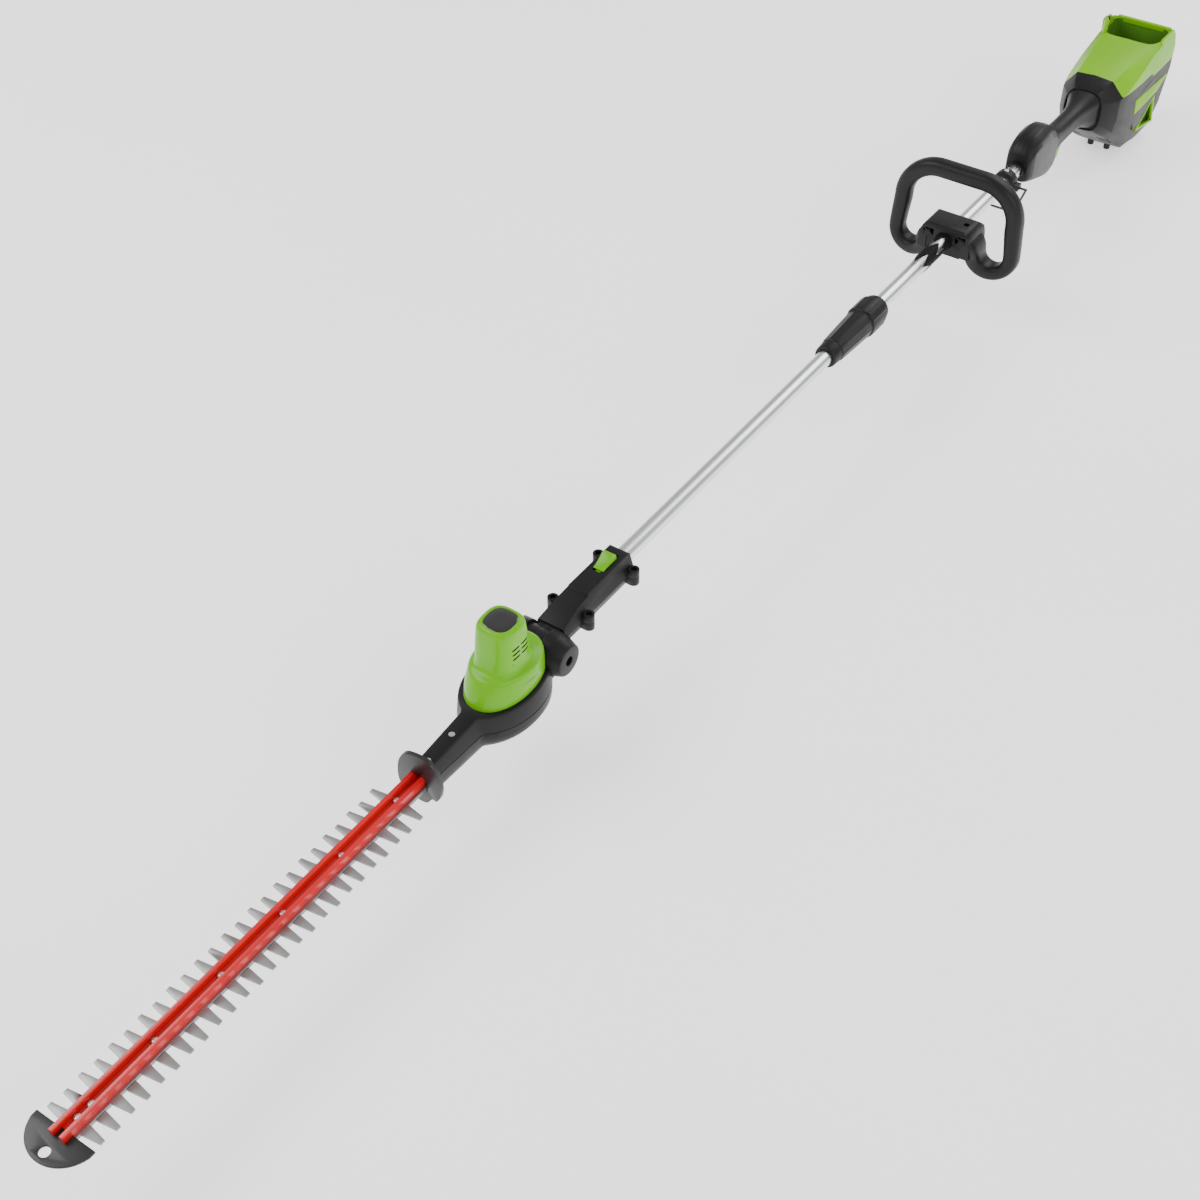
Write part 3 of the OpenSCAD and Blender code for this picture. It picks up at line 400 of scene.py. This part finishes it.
COVER_LEVELS = [
    (58.6, 40.7, 2.1, 150.0, 628.6), (55.6, 40.2, 2.1, 158.0, 627.2), (53.8, 39.7, 2.12, 163.0, 626.4),
    (52.0, 39.0, 2.15, 166.6, 626.0), (50.0, 37.8, 2.15, 168.4, 625.8), (46.8, 35.8, 2.2, 169.6, 626.2),
    (42.0, 33.0, 2.3, 170.6, 627.6), (37.4, 30.9, 2.5, 172.2, 629.6), (33.8, 29.5, 2.7, 175.0, 631.2),
    (31.4, 28.6, 2.9, 179.4, 632.0), (30.0, 28.2, 3.1, 186.0, 632.5), (28.8, 27.7, 3.3, 197.0, 632.5),
    (27.4, 26.8, 3.3, 214.0, 632.5), (26.4, 26.0, 3.2, 225.0, 632.5), (25.7, 25.4, 3.1, 229.0, 632.5),
    (24.4, 24.1, 3.0, 231.4, 632.5), (22.6, 22.2, 2.8, 232.6, 632.5), (20.6, 19.8, 2.8, 233.0, 632.5),
    (20.0, 19.1, 2.8, 232.9, 632.5), (19.7, 18.8, 2.8, 232.2, 632.5)
]


def build_motor_cover():
    rings = [super_ring(61.6, 40.7, 2.1, 629.8, lambda x: roof(x) + 0.15),
             super_ring(61.8, 41.0, 2.1, 629.8, lambda x: roof(x) + 1.5)]
    for a, b, n, z, cx in COVER_LEVELS:
        rings.append(super_ring(a, b, n, cx, z))
    cover = loft("motor_cover_shell", rings, "cover_green", 40.0)
    tools = [rod("t", "y", -80, 80, 28.75, PIVOT, "cover_green"),
             block("t", (520, -60, 100), (569, 60, 200), "cover_green")]
    # Painted shade: the vent pockets take the black badge material on their walls, standing in for the shadowed inside
    # of the vents.
    for z in VENT_ROWS_Z:
        for x in (MOTOR_X - 9.0, MOTOR_X + 7.5):
            outline = rounded([(x - 7, z), (x + 7, z), (x + 7, z + 2.6), (x - 7, z + 2.6)], 2, 0.2)
            tools.append(prism("t", outline, "y", 24.6, 40, "badge"))
    cut(cover, tools, sharp=38.0)
    place(cover, "head", ["motor_cover"], "cover_green")
    path = []
    for i in range(25):
        t = math.radians(59.0 + 54.0 * i / 24)
        path.append((627.4 + 55.6 * math.cos(t), 40.15 * math.sin(t), 156.5 - 4.0 * i / 24))
    place(thread_tube("cover_slit", path, 0.6, "badge"), "head")
    line = []
    for i in range(41):
        t = i / 40.0
        x = MOTOR_X - 15 + 30 * t
        z = 186.5 - 7.0 * math.sin(math.pi * t) ** 0.5
        line.append((x, 27.95 - 0.55 * abs(2 * t - 1) ** 3 + 0.012 * (186 - z), z))
    place(thread_tube("cover_emboss", line, 0.35, "cover_green"), "head")
    badge = loft("tower_badge", [super_ring(19.5, 18.6, 2.8, MOTOR_X, 231.6),
                                 super_ring(19.5, 18.6, 2.8, MOTOR_X, 232.5),
                                 super_ring(18.8, 17.9, 2.8, MOTOR_X, 232.9),
                                 super_ring(10.0, 9.0, 2.6, MOTOR_X, 233.0)],
                 "badge", 50.0)
    place(badge, "head", ["cover_badge"], "badge")


# ---------------------------------------------------------------- gearcase
def bulge(x, a, b, n0, n1):
    """Half width of the case in plan: an oval that runs out into the neck."""
    u = (x - CASE_OVAL_X) / a
    oval = b * math.sqrt(max(0.0, 1 - u * u))
    neck = n0 + (n1 - n0) * min(1.0, max(0.0, (CASE_FRONT_X - x) / 95.0))
    if x < 650:
        return oval
    return (oval ** 5 + neck ** 5) ** 0.2


CASE_X = [795, 788, 780, 770, 760, 750, 742, 734, 726, 720, 714, 708, 703, 698, 693, 688, 682, 675, 667, 658, 648, 638,
          628, 618, 608, 600, 592, 586, 580, 576, 572, 569.2]


def case_ring(x, rows):
    half = [(bulge(x, *dims) + inset, z(x) if callable(z) else z) for dims, inset, z in rows]
    ring = [(x, y, z) for y, z in half] + [(x, -y, z) for y, z in reversed(half)]
    return ring


TOP_RIM = (69.8, 45.8, 9.6, 11.5)
MID_RIM = (71.6, 48.6, 14.0, 17.5)
LOW_RIM = (71.8, 49.0, 14.6, 18.5)
BASE_RIM = (68.5, 44.5, 13.0, 16.0)


def tongue_space():
    return [rod("t", "y", -16, 16, 25.5, PIVOT), block("t", (470, -16, 60), (590, 16, 140)),
            block("t", (470, -24, 60), (590, 24, 107.4)), block("t", (470, -16, 130), (568, 16, 260))]


def gear_space(low, high):
    """Room for the gears, a wall thickness inside the case."""
    rows = [(BASE_RIM, -4.5, low), (LOW_RIM, -5.0, min(high, 100.0)), (TOP_RIM, -5.0, high)]
    return loft("t", [case_ring(x, rows) for x in CASE_X if 584 < x < 715], "case_black")


def build_gearcase():
    rows = [(LOW_RIM, -0.5, 107.0), (LOW_RIM, 0.0, 107.6), (MID_RIM, 0.0, 112.0),
            (TOP_RIM, 1.1, lambda x: roof(x) - 3.2), (TOP_RIM, 0.4, lambda x: roof(x) - 1.2),
            (TOP_RIM, -0.6, lambda x: roof(x) - 0.3), (TOP_RIM, -1.8, lambda x: roof(x))]
    upper = loft("gearcase_top", [case_ring(x, rows) for x in CASE_X], "case_black", 34.0)
    tools = tongue_space() + [block("t", (690, -10.5, 100), (800, 10.5, 116.9), "bar_red"), gear_space(90.0, 126.0),
                              rod("t", "z", 120, 150, 22.0, (MOTOR_X, 0))]
    for x in NECK_SCREW_X:
        tools.append(rod("t", "z", roof(x) - 3.5, 150, 4.4, (x, 0), "soft_black"))
    cut(upper, tools, sharp=34.0)
    place(upper, "head", ["gearcase_upper"], "case_black")
    rows = [(BASE_RIM, -7.0, 80.0), (BASE_RIM, -3.0, 80.8), (BASE_RIM, 0.0, 84.0), (LOW_RIM, -0.6, 91.0),
            (LOW_RIM, 0.0, 98.0),
            (LOW_RIM, 0.2, 106.0), (LOW_RIM, -0.4, 106.7)]
    lower = loft("gearcase_base", [case_ring(x, rows) for x in CASE_X], "case_black", 34.0)
    cut(lower, tongue_space() + [block("t", (690, -13.6, 92), (800, 13.6, 110)), gear_space(84.5, 112.0)], sharp=34.0)
    place(lower, "head", ["gearcase_lower"], "case_black")
    left = lathe("hub_long", [(16.0, 4.1), (16.0, 27.4), (16.6, 28.0), (30.0, 28.0), (31.5, 27.6),
                              (48.8, 21.4), (49.7, 20.6),
                              (50.0, 19.6), (50.0, 7.4), (49.4, 6.5), (36.2, 6.5), (36.2, 4.1)], "y", PIVOT,
                 "case_black")
    place(left, "head", [], "case_black")
    right = lathe("hub_short", [(-16.0, 4.1), (-16.0, 27.4), (-16.6, 28.0), (-29.0, 28.0), (-30.0, 27.4), (-34.3, 22.6),
                                (-35.0, 21.4), (-35.0, 7.6), (-34.5, 7.1), (-29.0, 7.1), (-29.0, 4.1)], "y",
                  PIVOT, "case_black")
    place(right, "head", [], "case_black")
    for name, sign in (("hub_web_left", 1), ("hub_web_right", -1)):
        y0, y1 = sorted((sign * 16.6, sign * 34.0))
        outline = [(566, 108.5), (608, 107.5), (610, 134.0), (592, 137.0), (574, 160.0), (566, 160.5)]
        place(soften(prism(name, rounded(outline, 1, 0.15), "y", y0, y1, "case_black"), 2.0, 3), "head", [],
              "case_black")


# ---------------------------------------------------------------- hand guard
def build_hand_guard():
    outline = [(-29, 86), (-31, 104), (-28, 126), (-19, 144), (0, 149), (20, 149), (31, 132), (35, 114),
               (32, 96), (26, 85),
               (20, 88), (11, 73), (-6, 73), (-6, 84)]
    plate = prism("guard_plate", rounded(outline, 2, 0.22), "x", 795, 801, "guard_steel")
    cut(plate, [block("t", (790, -14, 97), (806, 14, 105.3)),
                block("t", (790, -10.3, 104.9), (806, 10.3, 116.7), "bar_red")])
    soften(plate, 0.9, 3, 50.0)
    place(plate, "head", ["hand_guard"], "guard_steel")


# ---------------------------------------------------------------- bolts
def build_bolts():
    for i, x in enumerate(BAR_BOLT_X):
        head = lathe("bar_bolt_head_%d" % (i + 1),
                     [(108.3, 0.01), (108.3, 3.75), (109.2, 3.85), (110.0, 3.7), (110.9, 3.0), (111.2, 2.3),
                      (111.2, 1.8),
                      (109.6, 1.6), (109.6, 0.01)], "z", (x, 0), "zinc", 32, 40.0)
        place(head, "head", [], "zinc")


# ---------------------------------------------------------------- collar
def build_collar():
    def swell(along, angle):
        if along < -264:
            pad = math.cos(2 * (angle - math.pi / 4)) ** 2
            return 1.0 * max(0.0, min(1.0, (pad - 0.55) * 6)) if -308 < along < -267 else 0.0
        facet = (angle % (math.pi / 5)) - math.pi / 10
        if -262 <= along <= -182:
            return 19.0 * (1 / math.cos(facet) - 1) - 0.2
        return 0.0
    profile = [(-200.2, 12.4), (-159.6, 12.4), (-159.0, 13.0), (-159.0, 16.2), (-159.8, 17.1), (-161.5, 17.6),
               (-176.0, 18.6),
               (-177.2, 18.0), (-179.4, 18.0), (-180.4, 18.9), (-182, 19.1), (-200, 19.9), (-220, 20.8), (-240, 21.6),
               (-262, 22.5), (-263.6, 22.2), (-265.0, 22.4), (-266.5, 24.2), (-268.0, 24.5), (-284.0, 24.6),
               (-304.0, 24.5),
               (-307.0, 24.1), (-308.4, 22.8), (-311.0, 22.6), (-317.5, 21.2), (-319.0, 20.0), (-319.0, 17.2),
               (-200.2, 17.2)]
    collar = lathe("collar_shell", profile, "x", (0, 144), "case_black", 160, 16.0, swell)
    place(collar, "collar", ["screw_collar"], "case_black")


# ---------------------------------------------------------------- loop handle
LOOP_X = -590.0


def loop_section(y, z, dy, dz, wide, thick, shift=0.0, n=2.7, steps=32):
    """Section across the bar: wide along X, thick along the normal (dy, dz) in the loop's plane."""
    ring = []
    for i in range(steps):
        t = 2 * math.pi * i / steps
        c, s = math.cos(t), math.sin(t)
        u = wide * math.copysign(abs(c) ** (2 / n), c)
        v = thick * math.copysign(abs(s) ** (2 / n), s)
        ring.append((LOOP_X + shift + u, y + v * dy, z + v * dz))
    return ring


def clamp_room():
    """Room for the tube and for the lower half of the clamp."""
    return [rod("t", "x", -640, -520, CLAMP_BORE_R, (0, TUBE_Z)),
            block("t", (-640, -CLAMP_HALF, 60), (-520, CLAMP_HALF, 143.6))]


def build_loop():
    path = []
    for i in range(5):
        path.append((9.25 * i, 243.0, 0.0, 1.0, 14.4, 14.0))
    for i in range(1, 21):
        t = math.radians(90 - 4.5 * i)
        path.append((37 + 60 * math.cos(t), 183 + 60 * math.sin(t), math.cos(t), math.sin(t), 14.4, 14.0))
    for y, z in ((97.4, 172.0), (98.6, 160.0), (99.8, 148.0), (100.8, 136.0), (101.4, 128.0)):
        path.append((y, z, 1.0, 0.09, 14.5, 14.0 - (172.0 - z) * 0.03))
    for i in range(0, 25):
        t, k = math.radians(-7.5 * i), i / 24
        path.append((72 + 29.5 * math.cos(t), 124 + 29.5 * math.sin(t), math.cos(t), math.sin(t), 14.6 + 8.4 * k ** 1.5,
                     12.6 - 0.8 * math.sin(math.pi * k), 10.0 * k ** 1.5, 2.7 + 1.5 * k))
    path.append((41.4, 131.0, -0.97, -0.24, 25.0, 12.9, 13.0, 4.4))
    path.append((38.4, 139.0, -0.88, -0.48, 26.8, 12.6, 15.6, 4.6))
    path.append((33.0, 146.0, -0.66, -0.75, 28.0, 11.0, 15.8, 4.8))
    path.append((24.0, 150.0, -0.34, -0.94, 28.4, 9.4, 15.2, 4.8))
    right = [loop_section(*p) for p in path]
    left = [[(x, -y, z) for x, y, z in ring] for ring in right[1:]]
    loop = loft("loop_bar", list(reversed(left)) + right, "case_black", 50.0)
    cut(loop, clamp_room() + [block("t", (-600, -34, 125), (-548.5, 34, 166))], sharp=40.0)
    place(loop, "loop", ["loop_handle"], "case_black")
    outline = [(-45.5, 122.5), (-44, 146), (-42, 155), (-39.5, 162), (-35.5, 166.3), (-30.5, 168.3),
               (30.5, 168.3), (35.5, 166.3),
               (39.5, 162), (42, 155), (44, 146), (45.5, 122.5)]
    core = prism("loop_clamp_block", outline, "x", LOOP_X - 17, LOOP_X + 44, "case_black")
    side = [(-620, 110), (-620, 150), (-606.6, 158.5), (-597, 166.6), (-592, 168.6), (-550.5, 168.6), (-547, 166.6),
            (-545.6, 162), (-545.6, 110)]
    cut(core, [prism("t", side, "y", -60, 60, "case_black")], "INTERSECT")
    soften(core, 2.4, 3, 24.0)
    tools = clamp_room() + [rod("t", "z", 153.0, 180, 4.9, (-574, 24), "soft_black")]
    for cy in (-28.0, 28.0):
        for tri in ([(cy - 9, 146.6), (cy + 7.6, 146.6), (cy - 9, 158.2)],
                    [(cy + 9, 148.0), (cy + 9, 159.8), (cy - 7.6, 159.8)]):
            tools.append(prism("t", tri, "x", -556, -530, "soft_black"))
    cut(core, tools, sharp=34.0)
    place(core, "loop", [], "case_black")
    soft_copy("handle_clamp", 1.5, 3)


def zigzag_sleeve(name, back, front, radius, thick, body, nodes, material="soft_black", steps=144):
    """Thin sleeve on the tube between two edges, each a function of the angle round it."""
    rings = []
    for i in range(steps):
        t = 2 * math.pi * i / steps
        b, f = back(t), front(t)
        ring = []
        for x, r in ((b, radius), (b, radius + thick * 0.7), (b + 0.3, radius + thick), (f - 0.3, radius + thick),
                     (f, radius + thick * 0.7), (f, radius)):
            ring.append((x, r * math.cos(t), TUBE_Z + r * math.sin(t)))
        rings.append(ring)
    obj = loft(name, rings, material, 40.0, wrap=True)
    return place(obj, body, nodes, material)


def teeth_wave(angle, count, phase=0.0):
    """Triangle wave from 0 to 1, count peaks round the circle."""
    u = (angle * count / (2 * math.pi) + phase) % 1.0
    return 1 - abs(2 * u - 1)


def chevron(rear, reach):
    """Sleeve edge with four points round the tube."""
    return lambda t: rear + reach * teeth_wave(t, 4, 0.222)


# ---------------------------------------------------------------- trigger housing
HOUSING = [
    (-820.5, 167, 124, 19.0, 3.6), (-823, 173, 122.4, 21.4, 3.7), (-829, 181, 120.5, 23.2, 3.8),
           (-837, 187.5, 118.0, 24.6, 3.8),
    (-848, 192.5, 114.5, 25.6, 3.9), (-860, 195.4, 110.8, 26.0, 4.0), (-875, 196.6, 106.0, 26.2, 4.0),
           (-890, 196.6, 101.2, 26.2, 4.0),
    (-904, 193.6, 98.0, 26.1, 4.0), (-918, 187.4, 97.4, 25.7, 3.8), (-930, 179.0, 99.0, 24.6, 3.6),
           (-941, 170.0, 103.0, 22.2, 3.2),
    (-950, 163.6, 110, 19.8, 2.8), (-960, 160.4, 115.8, 18.4, 2.6), (-975, 158.4, 117.8, 17.8, 2.5),
           (-995, 157.8, 118.6, 17.6, 2.4),
    (-1020, 157.6, 118.4, 17.6, 2.4), (-1045, 157.8, 117.6, 17.8, 2.4), (-1062, 159.5, 115.4, 19.2, 2.5),
           (-1076, 162.2, 111.4, 22.0, 2.6),
    (-1088, 165.2, 106.6, 25.8, 2.8), (-1098, 168, 102, 29.8, 3.0), (-1103.5, 169.4, 99.4, 32.0, 3.1)
]


def split_spans(keys):
    """Each span of an open run of points split in four, so that every run has 33 points."""
    run = []
    for (y0, z0), (y1, z1) in zip(keys, keys[1:]):
        run += [(y0 + (y1 - y0) * k / 4, z0 + (z1 - z0) * k / 4) for k in range(4)]
    return run + [keys[-1]]


def housing_half(name, sign, node):
    rings = []
    for x, top, low, wide, n in HOUSING:
        mid, high = 0.5 * (top + low), 0.5 * (top - low)
        if x > GRIP_START_X:
            keys = [(0, top + 0.6), (wide * 0.46, top - 0.2), (wide * 0.80, top - high * 0.16),
                    (wide * 0.97, top - high * 0.42),
                    (wide, mid), (wide, low + high * 0.34), (wide * 0.86, low + high * 0.12),
                    (wide * 0.5, low + 0.2), (0, low)]
            ring = [(x, sign * (0.06 + min(y, wide * 0.985)), z) for y, z in split_spans(keys)]
        else:
            ring = []
            for i in range(33):
                t = math.pi / 2 - math.pi * i / 32
                y = wide * abs(math.cos(t)) ** (2 / n)
                z = mid + high * math.copysign(abs(math.sin(t)) ** (2 / n), math.sin(t))
                ring.append((x, sign * (min(y, wide * 0.965) + 0.06), z))
        rings.append(ring)
    half = loft(name, rings, "case_black", 42.0)
    tools = [rod("t", "x", -907, -815, 12.1, (0, 144)), block("t", (-1018, -5.6, 90), (-950, 5.6, 130))]
    if sign < 0:
        tools.append(rod("t", "y", -60, -5, 8.4, (-935, 146)))
    cut(half, tools, sharp=36.0)
    # Painted light: the flat side faces of the housing between x -934 and -838 take the lighter grey, standing in for
    # their lit look.
    half.data.materials.append(MATS["panel_grey"])
    lit_side_slot = len(half.data.materials) - 1
    for poly in half.data.polygons:
        c = poly.center / MM
        if -934 < c.x < -838 and abs(poly.normal.y) > 0.93 and abs(c.y) > 20 and c.z < 186 + (c.x + 838) * 0.05:
            poly.material_index = lit_side_slot
    return place(half, "shaft", [node], "case_black")


# ---------------------------------------------------------------- power head
HEAD_KEYS = [
    (-1104, [(0, 171), (21, 168.5), (31, 151), (34.5, 128), (33, 112), (25, 97.5), (0, 95)]),
    (-1118, [(0, 178), (28, 175), (42, 151), (45, 122), (43, 102), (32, 86.5), (0, 84)]),
    (-1137, [(0, 184.4), (34, 181.4), (54.5, 151), (55, 112), (51, 88), (37, 74), (0, 71)]),
    (-1165, [(0, 187.8), (36.2, 184.8), (58.6, 158.5), (59.6, 100), (54, 71), (38.5, 55.5), (0, 53.5)]),
    (-1200, [(0, 191.0), (39.0, 188.2), (59.6, 168), (60, 84), (53.5, 48), (40, 31), (0, 29)]),
    (-1232, [(0, 194.0), (41.4, 191.6), (59.8, 177), (60, 68), (52.8, 26), (43, 11.5), (0, 10.4)]),
    (-1272, [(0, 197.6), (44.2, 196.0), (58.4, 187.5), (60, 60), (52, 16), (44, 9.4), (0, 8.6)]),
    (-1280, [(0, 198), (45.4, 196.4), (58.8, 188.5), (60, 60), (52, 15.6), (44, 9.2), (0, 8.4)]),
    (-1292, [(0, 198), (54.2, 195.4), (59.4, 189), (60, 60), (52, 15), (44, 8.8), (0, 8.2)]),
    (-1310, [(0, 198), (58.2, 195.6), (60.2, 188), (60, 60), (52, 14.6), (44, 8.6), (0, 8.2)]),
    (-1350, [(0, 198), (58.4, 195.6), (60.2, 186), (60, 60), (52, 14.4), (44, 8.6), (0, 8.2)]),
    (-1420, [(0, 198), (58.4, 195.6), (60.2, 186), (60, 60), (52, 14.4), (44, 8.6), (0, 8.2)])
]
REAR_PROFILE = [(-1080, 0), (-1080, 240), (-1362, 240), (-1363.5, 196), (-1388, 145), (-1375, 109),
                (-1355.5, 66), (-1345.6, 18),
                (-1336, 7.9), (-1230, 7.9)]
SEAM = [(-1430, 138), (-1300, 137), (-1287, 137.5), (-1281, 144.5), (-1180, 151.2), (-1147, 153.2),
        (-1144, 156), (-1136.4, 190),
        (-1136.4, 250), (-1430, 250)]
WINDOW = [(-1316, 86), (-1248, 46), (-1334, 28)]


def head_form(name, material):
    rings = []
    for x, keys in HEAD_KEYS:
        half = []
        for (y0, z0), (y1, z1) in zip(keys, keys[1:]):
            half.append((y0, z0))
            half.append((0.5 * (y0 + y1), 0.5 * (z0 + z1)))
        half.append(keys[-1])
        ring = [(x, y, z) for y, z in half] + [(x, -y, z) for y, z in reversed(half[1:-1])]
        rings.append(ring)
    form = loft(name, rings, material, 30.0)
    soften(form, 1.5, 3, 14.0, 11.0)
    plan = [(-1080, -70), (-1080, 70), (-1378, 70), (-1378, 61), (-1386, 56), (-1390, 44), (-1390, -44),
            (-1386, -56), (-1378, -61),
            (-1378, -70)]
    cut(form, [prism("t", REAR_PROFILE, "y", -90, 90, material), prism("t", plan, "z", -20, 260, material)],
        "INTERSECT", 11.0)
    return form


# Cutter for the battery bay; the walls it leaves take the darker green painted shade.
def bay_tools():
    plan = [(-1278, -38), (-1278, 38), (-1294, 50), (-1312, 54.4), (-1346, 54.4), (-1357, 46), (-1357, -46),
            (-1346, -54.4),
            (-1312, -54.4), (-1294, -50)]
    return [prism("t", rounded(plan, 2, 0.22), "z", 96, 260, "painted_shade_green")]


def build_power_head():
    shell = head_form("head_black_shell", "case_black")
    tools = [prism("t", SEAM, "y", -90, 90, "case_black")] + bay_tools()
    for sign in (1, -1):
        y0, y1 = sorted((sign * 49.0, sign * 75.0))
        # The side window recess walls take the darker green painted shade.
        tools.append(prism("t", WINDOW, "y", y0, y1, "painted_shade_green"))
        for i in range(5):
            y = sign * (20 + 4.5 * i)
            tools.append(block("t", (-1200, y - 1, 40), (-1150, y + 1, 62), "soft_black"))
    cut(shell, tools, sharp=11.0)
    place(shell, "shaft", ["head_shell"], "case_black")
    green = head_form("head_green_shell", "shell_green")
    cut(green, [prism("t", [(x, z + 0.25) for x, z in SEAM], "y", -90, 90, "shell_green")], "INTERSECT", 11.0)
    # The bay, a side notch and an inner pocket of the green shell take the darker green painted shade on their walls.
    cut(green, bay_tools() + [block("t", (-1320, -70, 156), (-1300.4, -50, 260), "painted_shade_green"),
                              block("t", (-1266, -40, 120), (-1150, 40, 178), "painted_shade_green")], sharp=11.0)
    place(green, "shaft", ["bay_shell"], "shell_green")
    lug = prism("rim_lug_front", [(-1281, -48.6), (-1290, -55.4), (-1299.8, -58.6), (-1299.8, -52.2),
                                  (-1293, -49.6), (-1283, -42.5)],
                "z", 190, 217.5, "shell_green")
    for v in lug.data.vertices:
        if v.co.z > 0.2:
            v.co.x -= 0.0045
            v.co.y += 0.0008
    place(soften(lug, 1.6, 3, 24.0), "shaft", [], "shell_green")
    lug = prism("rim_lug_rear", rounded([(-1320.6, 190), (-1320.6, 211), (-1329, 211.5), (-1334, 206),
                                         (-1350, 200.5), (-1361, 197),
                                         (-1361, 190)], 1, 0.12), "y", -58.8, -53.4, "shell_green")
    place(soften(lug, 1.2, 3), "shaft", [], "shell_green")
    lip = prism("rim_lip_left", rounded([(-1299, 190), (-1300, 199), (-1304, 201), (-1352, 200.4),
                                         (-1362, 198), (-1362, 190)], 1, 0.12),
                "y", 54.6, 58.9, "shell_green")
    place(soften(lip, 1.0, 3), "shaft", [], "shell_green")
    lip = prism("rim_lip_rear", rounded([(-44, 190), (-52, 198), (-50, 200.2), (50, 200.2), (54, 198),
                                         (44, 190)], 1, 0.12), "x", -1363,
                -1355.5, "shell_green")
    place(soften(lip, 1.4, 3), "shaft", [], "shell_green")
    ring = [(-12, 96.5), (12, 96.5), (25.5, 99.2), (32.2, 110), (34.4, 128), (33.4, 148), (28, 161),
            (20, 168.4), (0, 170.4), (-20, 168.4),
            (-28, 161), (-33.4, 148), (-34.4, 128), (-32.2, 110), (-25.5, 99.2)]
    path = [(-1103.6, y, z) for y, z in rounded(ring, 2, 0.25)]
    place(thread_tube("nose_seal", path, 1.7, "soft_black", closed=True), "shaft", [], "soft_black")
    for tag, sign in (("left", 1), ("right", -1)):
        def slab(name, outline, low, high, material, width=0.5):
            y0, y1 = sorted((sign * low, sign * high))
            piece = prism(name + "_" + tag, outline, "y", y0, y1, material)
            return place(soften(piece, width, 2), "shaft", [], material)
        slab("side_label", [(-1211, 121.5), (-1216, 91.5), (-1326, 91.5), (-1368, 108.5), (-1362, 112)], 59.0,
             61.1, "label_green")
        inner = [(-1313.5, 82.5), (-1254, 47.4), (-1329.5, 31.5)]
        outer = [(-1318, 89), (-1243.5, 45.4), (-1337, 25.5)]
        for i in range(3):
            j = (i + 1) % 3
            slab("window_frame_%d" % (i + 1), [outer[i], outer[j], inner[j], inner[i]], 56.4, 61.0, "shell_green")


# ---------------------------------------------------------------- build
build_motor_cover()
build_gearcase()
build_hand_guard()
build_bolts()
build_collar()
build_loop()
zigzag_sleeve("tube_sleeve", chevron(-519.0, 24.0), chevron(-481.0, 29.0), 12.3, 1.4, "loop", ["handle_sleeve"])
sleeve_edge = chevron(-543.0, 24.0)
zigzag_sleeve("clamp_sleeve", lambda t: -610.0, lambda t: sleeve_edge(t) if 0.05 < t < 5.4 else -494.0, 12.3,
              1.3, "loop", [])
zigzag_sleeve("grip_prongs", lambda t: -830.0, lambda t: -818.5 + 11.0 * teeth_wave(t, 5, 0.5), 12.2, 2.6, "shaft", [],
              "case_black")
housing_half("trigger_housing_left", 1, "housing_left")
housing_half("trigger_housing_right", -1, "housing_right")
build_power_head()
for node_name, width in (("cutter_bar", 0.45), ("upper_blade", 0.35), ("lower_blade", 0.35),
                         ("tip_guard", 0.8), ("tongue_left", 0.8),
                         ("tongue_right", 0.8), ("yoke_upper", 1.3), ("yoke_lower", 1.0), ("yoke_screws", 0.4),
                         ("pivot_latch", 0.9),
                         ("strap_clamp", 0.8), ("strap_bolt", 0.4), ("side_panels", 0.5),
                         ("battery_latch", 0.6), ("terminal_block", 0.6),
                         ("pivot_bolt", 0.4), ("pivot_nut", 0.4), ("trigger", 1.2), ("lock_off", 1.0),
                         ("rubber_feet", 1.2)):
    soft_copy(node_name, width, 3 if width >= 0.8 else 2)

# ---------------------------------------------------------------- camera
F_PX = 1791.2
RIGHT = Vector((-0.565735, 0.824587, 0.0))
UP = Vector((-0.562697, -0.386059, 0.730963))
BACK = Vector((0.602743, 0.413532, 0.682386))
CENTRE = Vector((1.8187, 0.9552, 1.6825))
cam_data = bpy.data.cameras.new("camera")
cam_data.sensor_width = 36.0
cam_data.lens = F_PX / 1200.0 * 36.0
cam_data.clip_end = 50.0
cam = bpy.data.objects.new("camera", cam_data)
bpy.context.scene.collection.objects.link(cam)
rot = Matrix((RIGHT.normalized(), UP.normalized(), BACK.normalized())).transposed()
cam.matrix_world = Matrix.Translation(CENTRE) @ rot.to_4x4()
bpy.context.scene.camera = cam

# ---------------------------------------------------------------- floor and light
bpy.ops.mesh.primitive_plane_add(size=30.0, location=(0, 0, -0.0006))
floor = bpy.context.object
floor.name = "floor"
mat, nodes, links, bsdf = new_material("pale_floor")
vec = object_coords(nodes, links)
links.new(ramp(nodes, links, noise(nodes, links, vec, 1.5), (0.86, 0.86, 0.86), (0.90, 0.90, 0.90)),
          bsdf.inputs["Base Color"])
bsdf.inputs["Roughness"].default_value = 0.9
bsdf.inputs["Emission Color"].default_value = (1.0, 1.0, 1.0, 1)
bsdf.inputs["Emission Strength"].default_value = 0.9
floor.data.materials.append(mat)

world = bpy.data.worlds.new("studio")
bpy.context.scene.world = world
world.use_nodes = True
world.node_tree.nodes["Background"].inputs["Color"].default_value = (1.0, 1.0, 1.0, 1)
world.node_tree.nodes["Background"].inputs["Strength"].default_value = 0.60


def area(name, location, target, size, power):
    light = bpy.data.lights.new(name, "AREA")
    light.shape = "RECTANGLE"
    light.size, light.size_y = size
    light.energy = power
    obj = bpy.data.objects.new(name, light)
    bpy.context.scene.collection.objects.link(obj)
    obj.location = location
    obj.rotation_euler = (Vector(target) - Vector(location)).to_track_quat("-Z", "Y").to_euler()
    return obj


area("key", (1.6, -2.6, 3.2), (0, 0, 0.1), (3.5, 2.0), 130)
area("fill", (0.8, 3.4, 2.4), (0, 0, 0.1), (4.0, 2.0), 90)
area("rear", (-3.2, 0.6, 2.6), (0, 0, 0.1), (2.5, 2.0), 60)
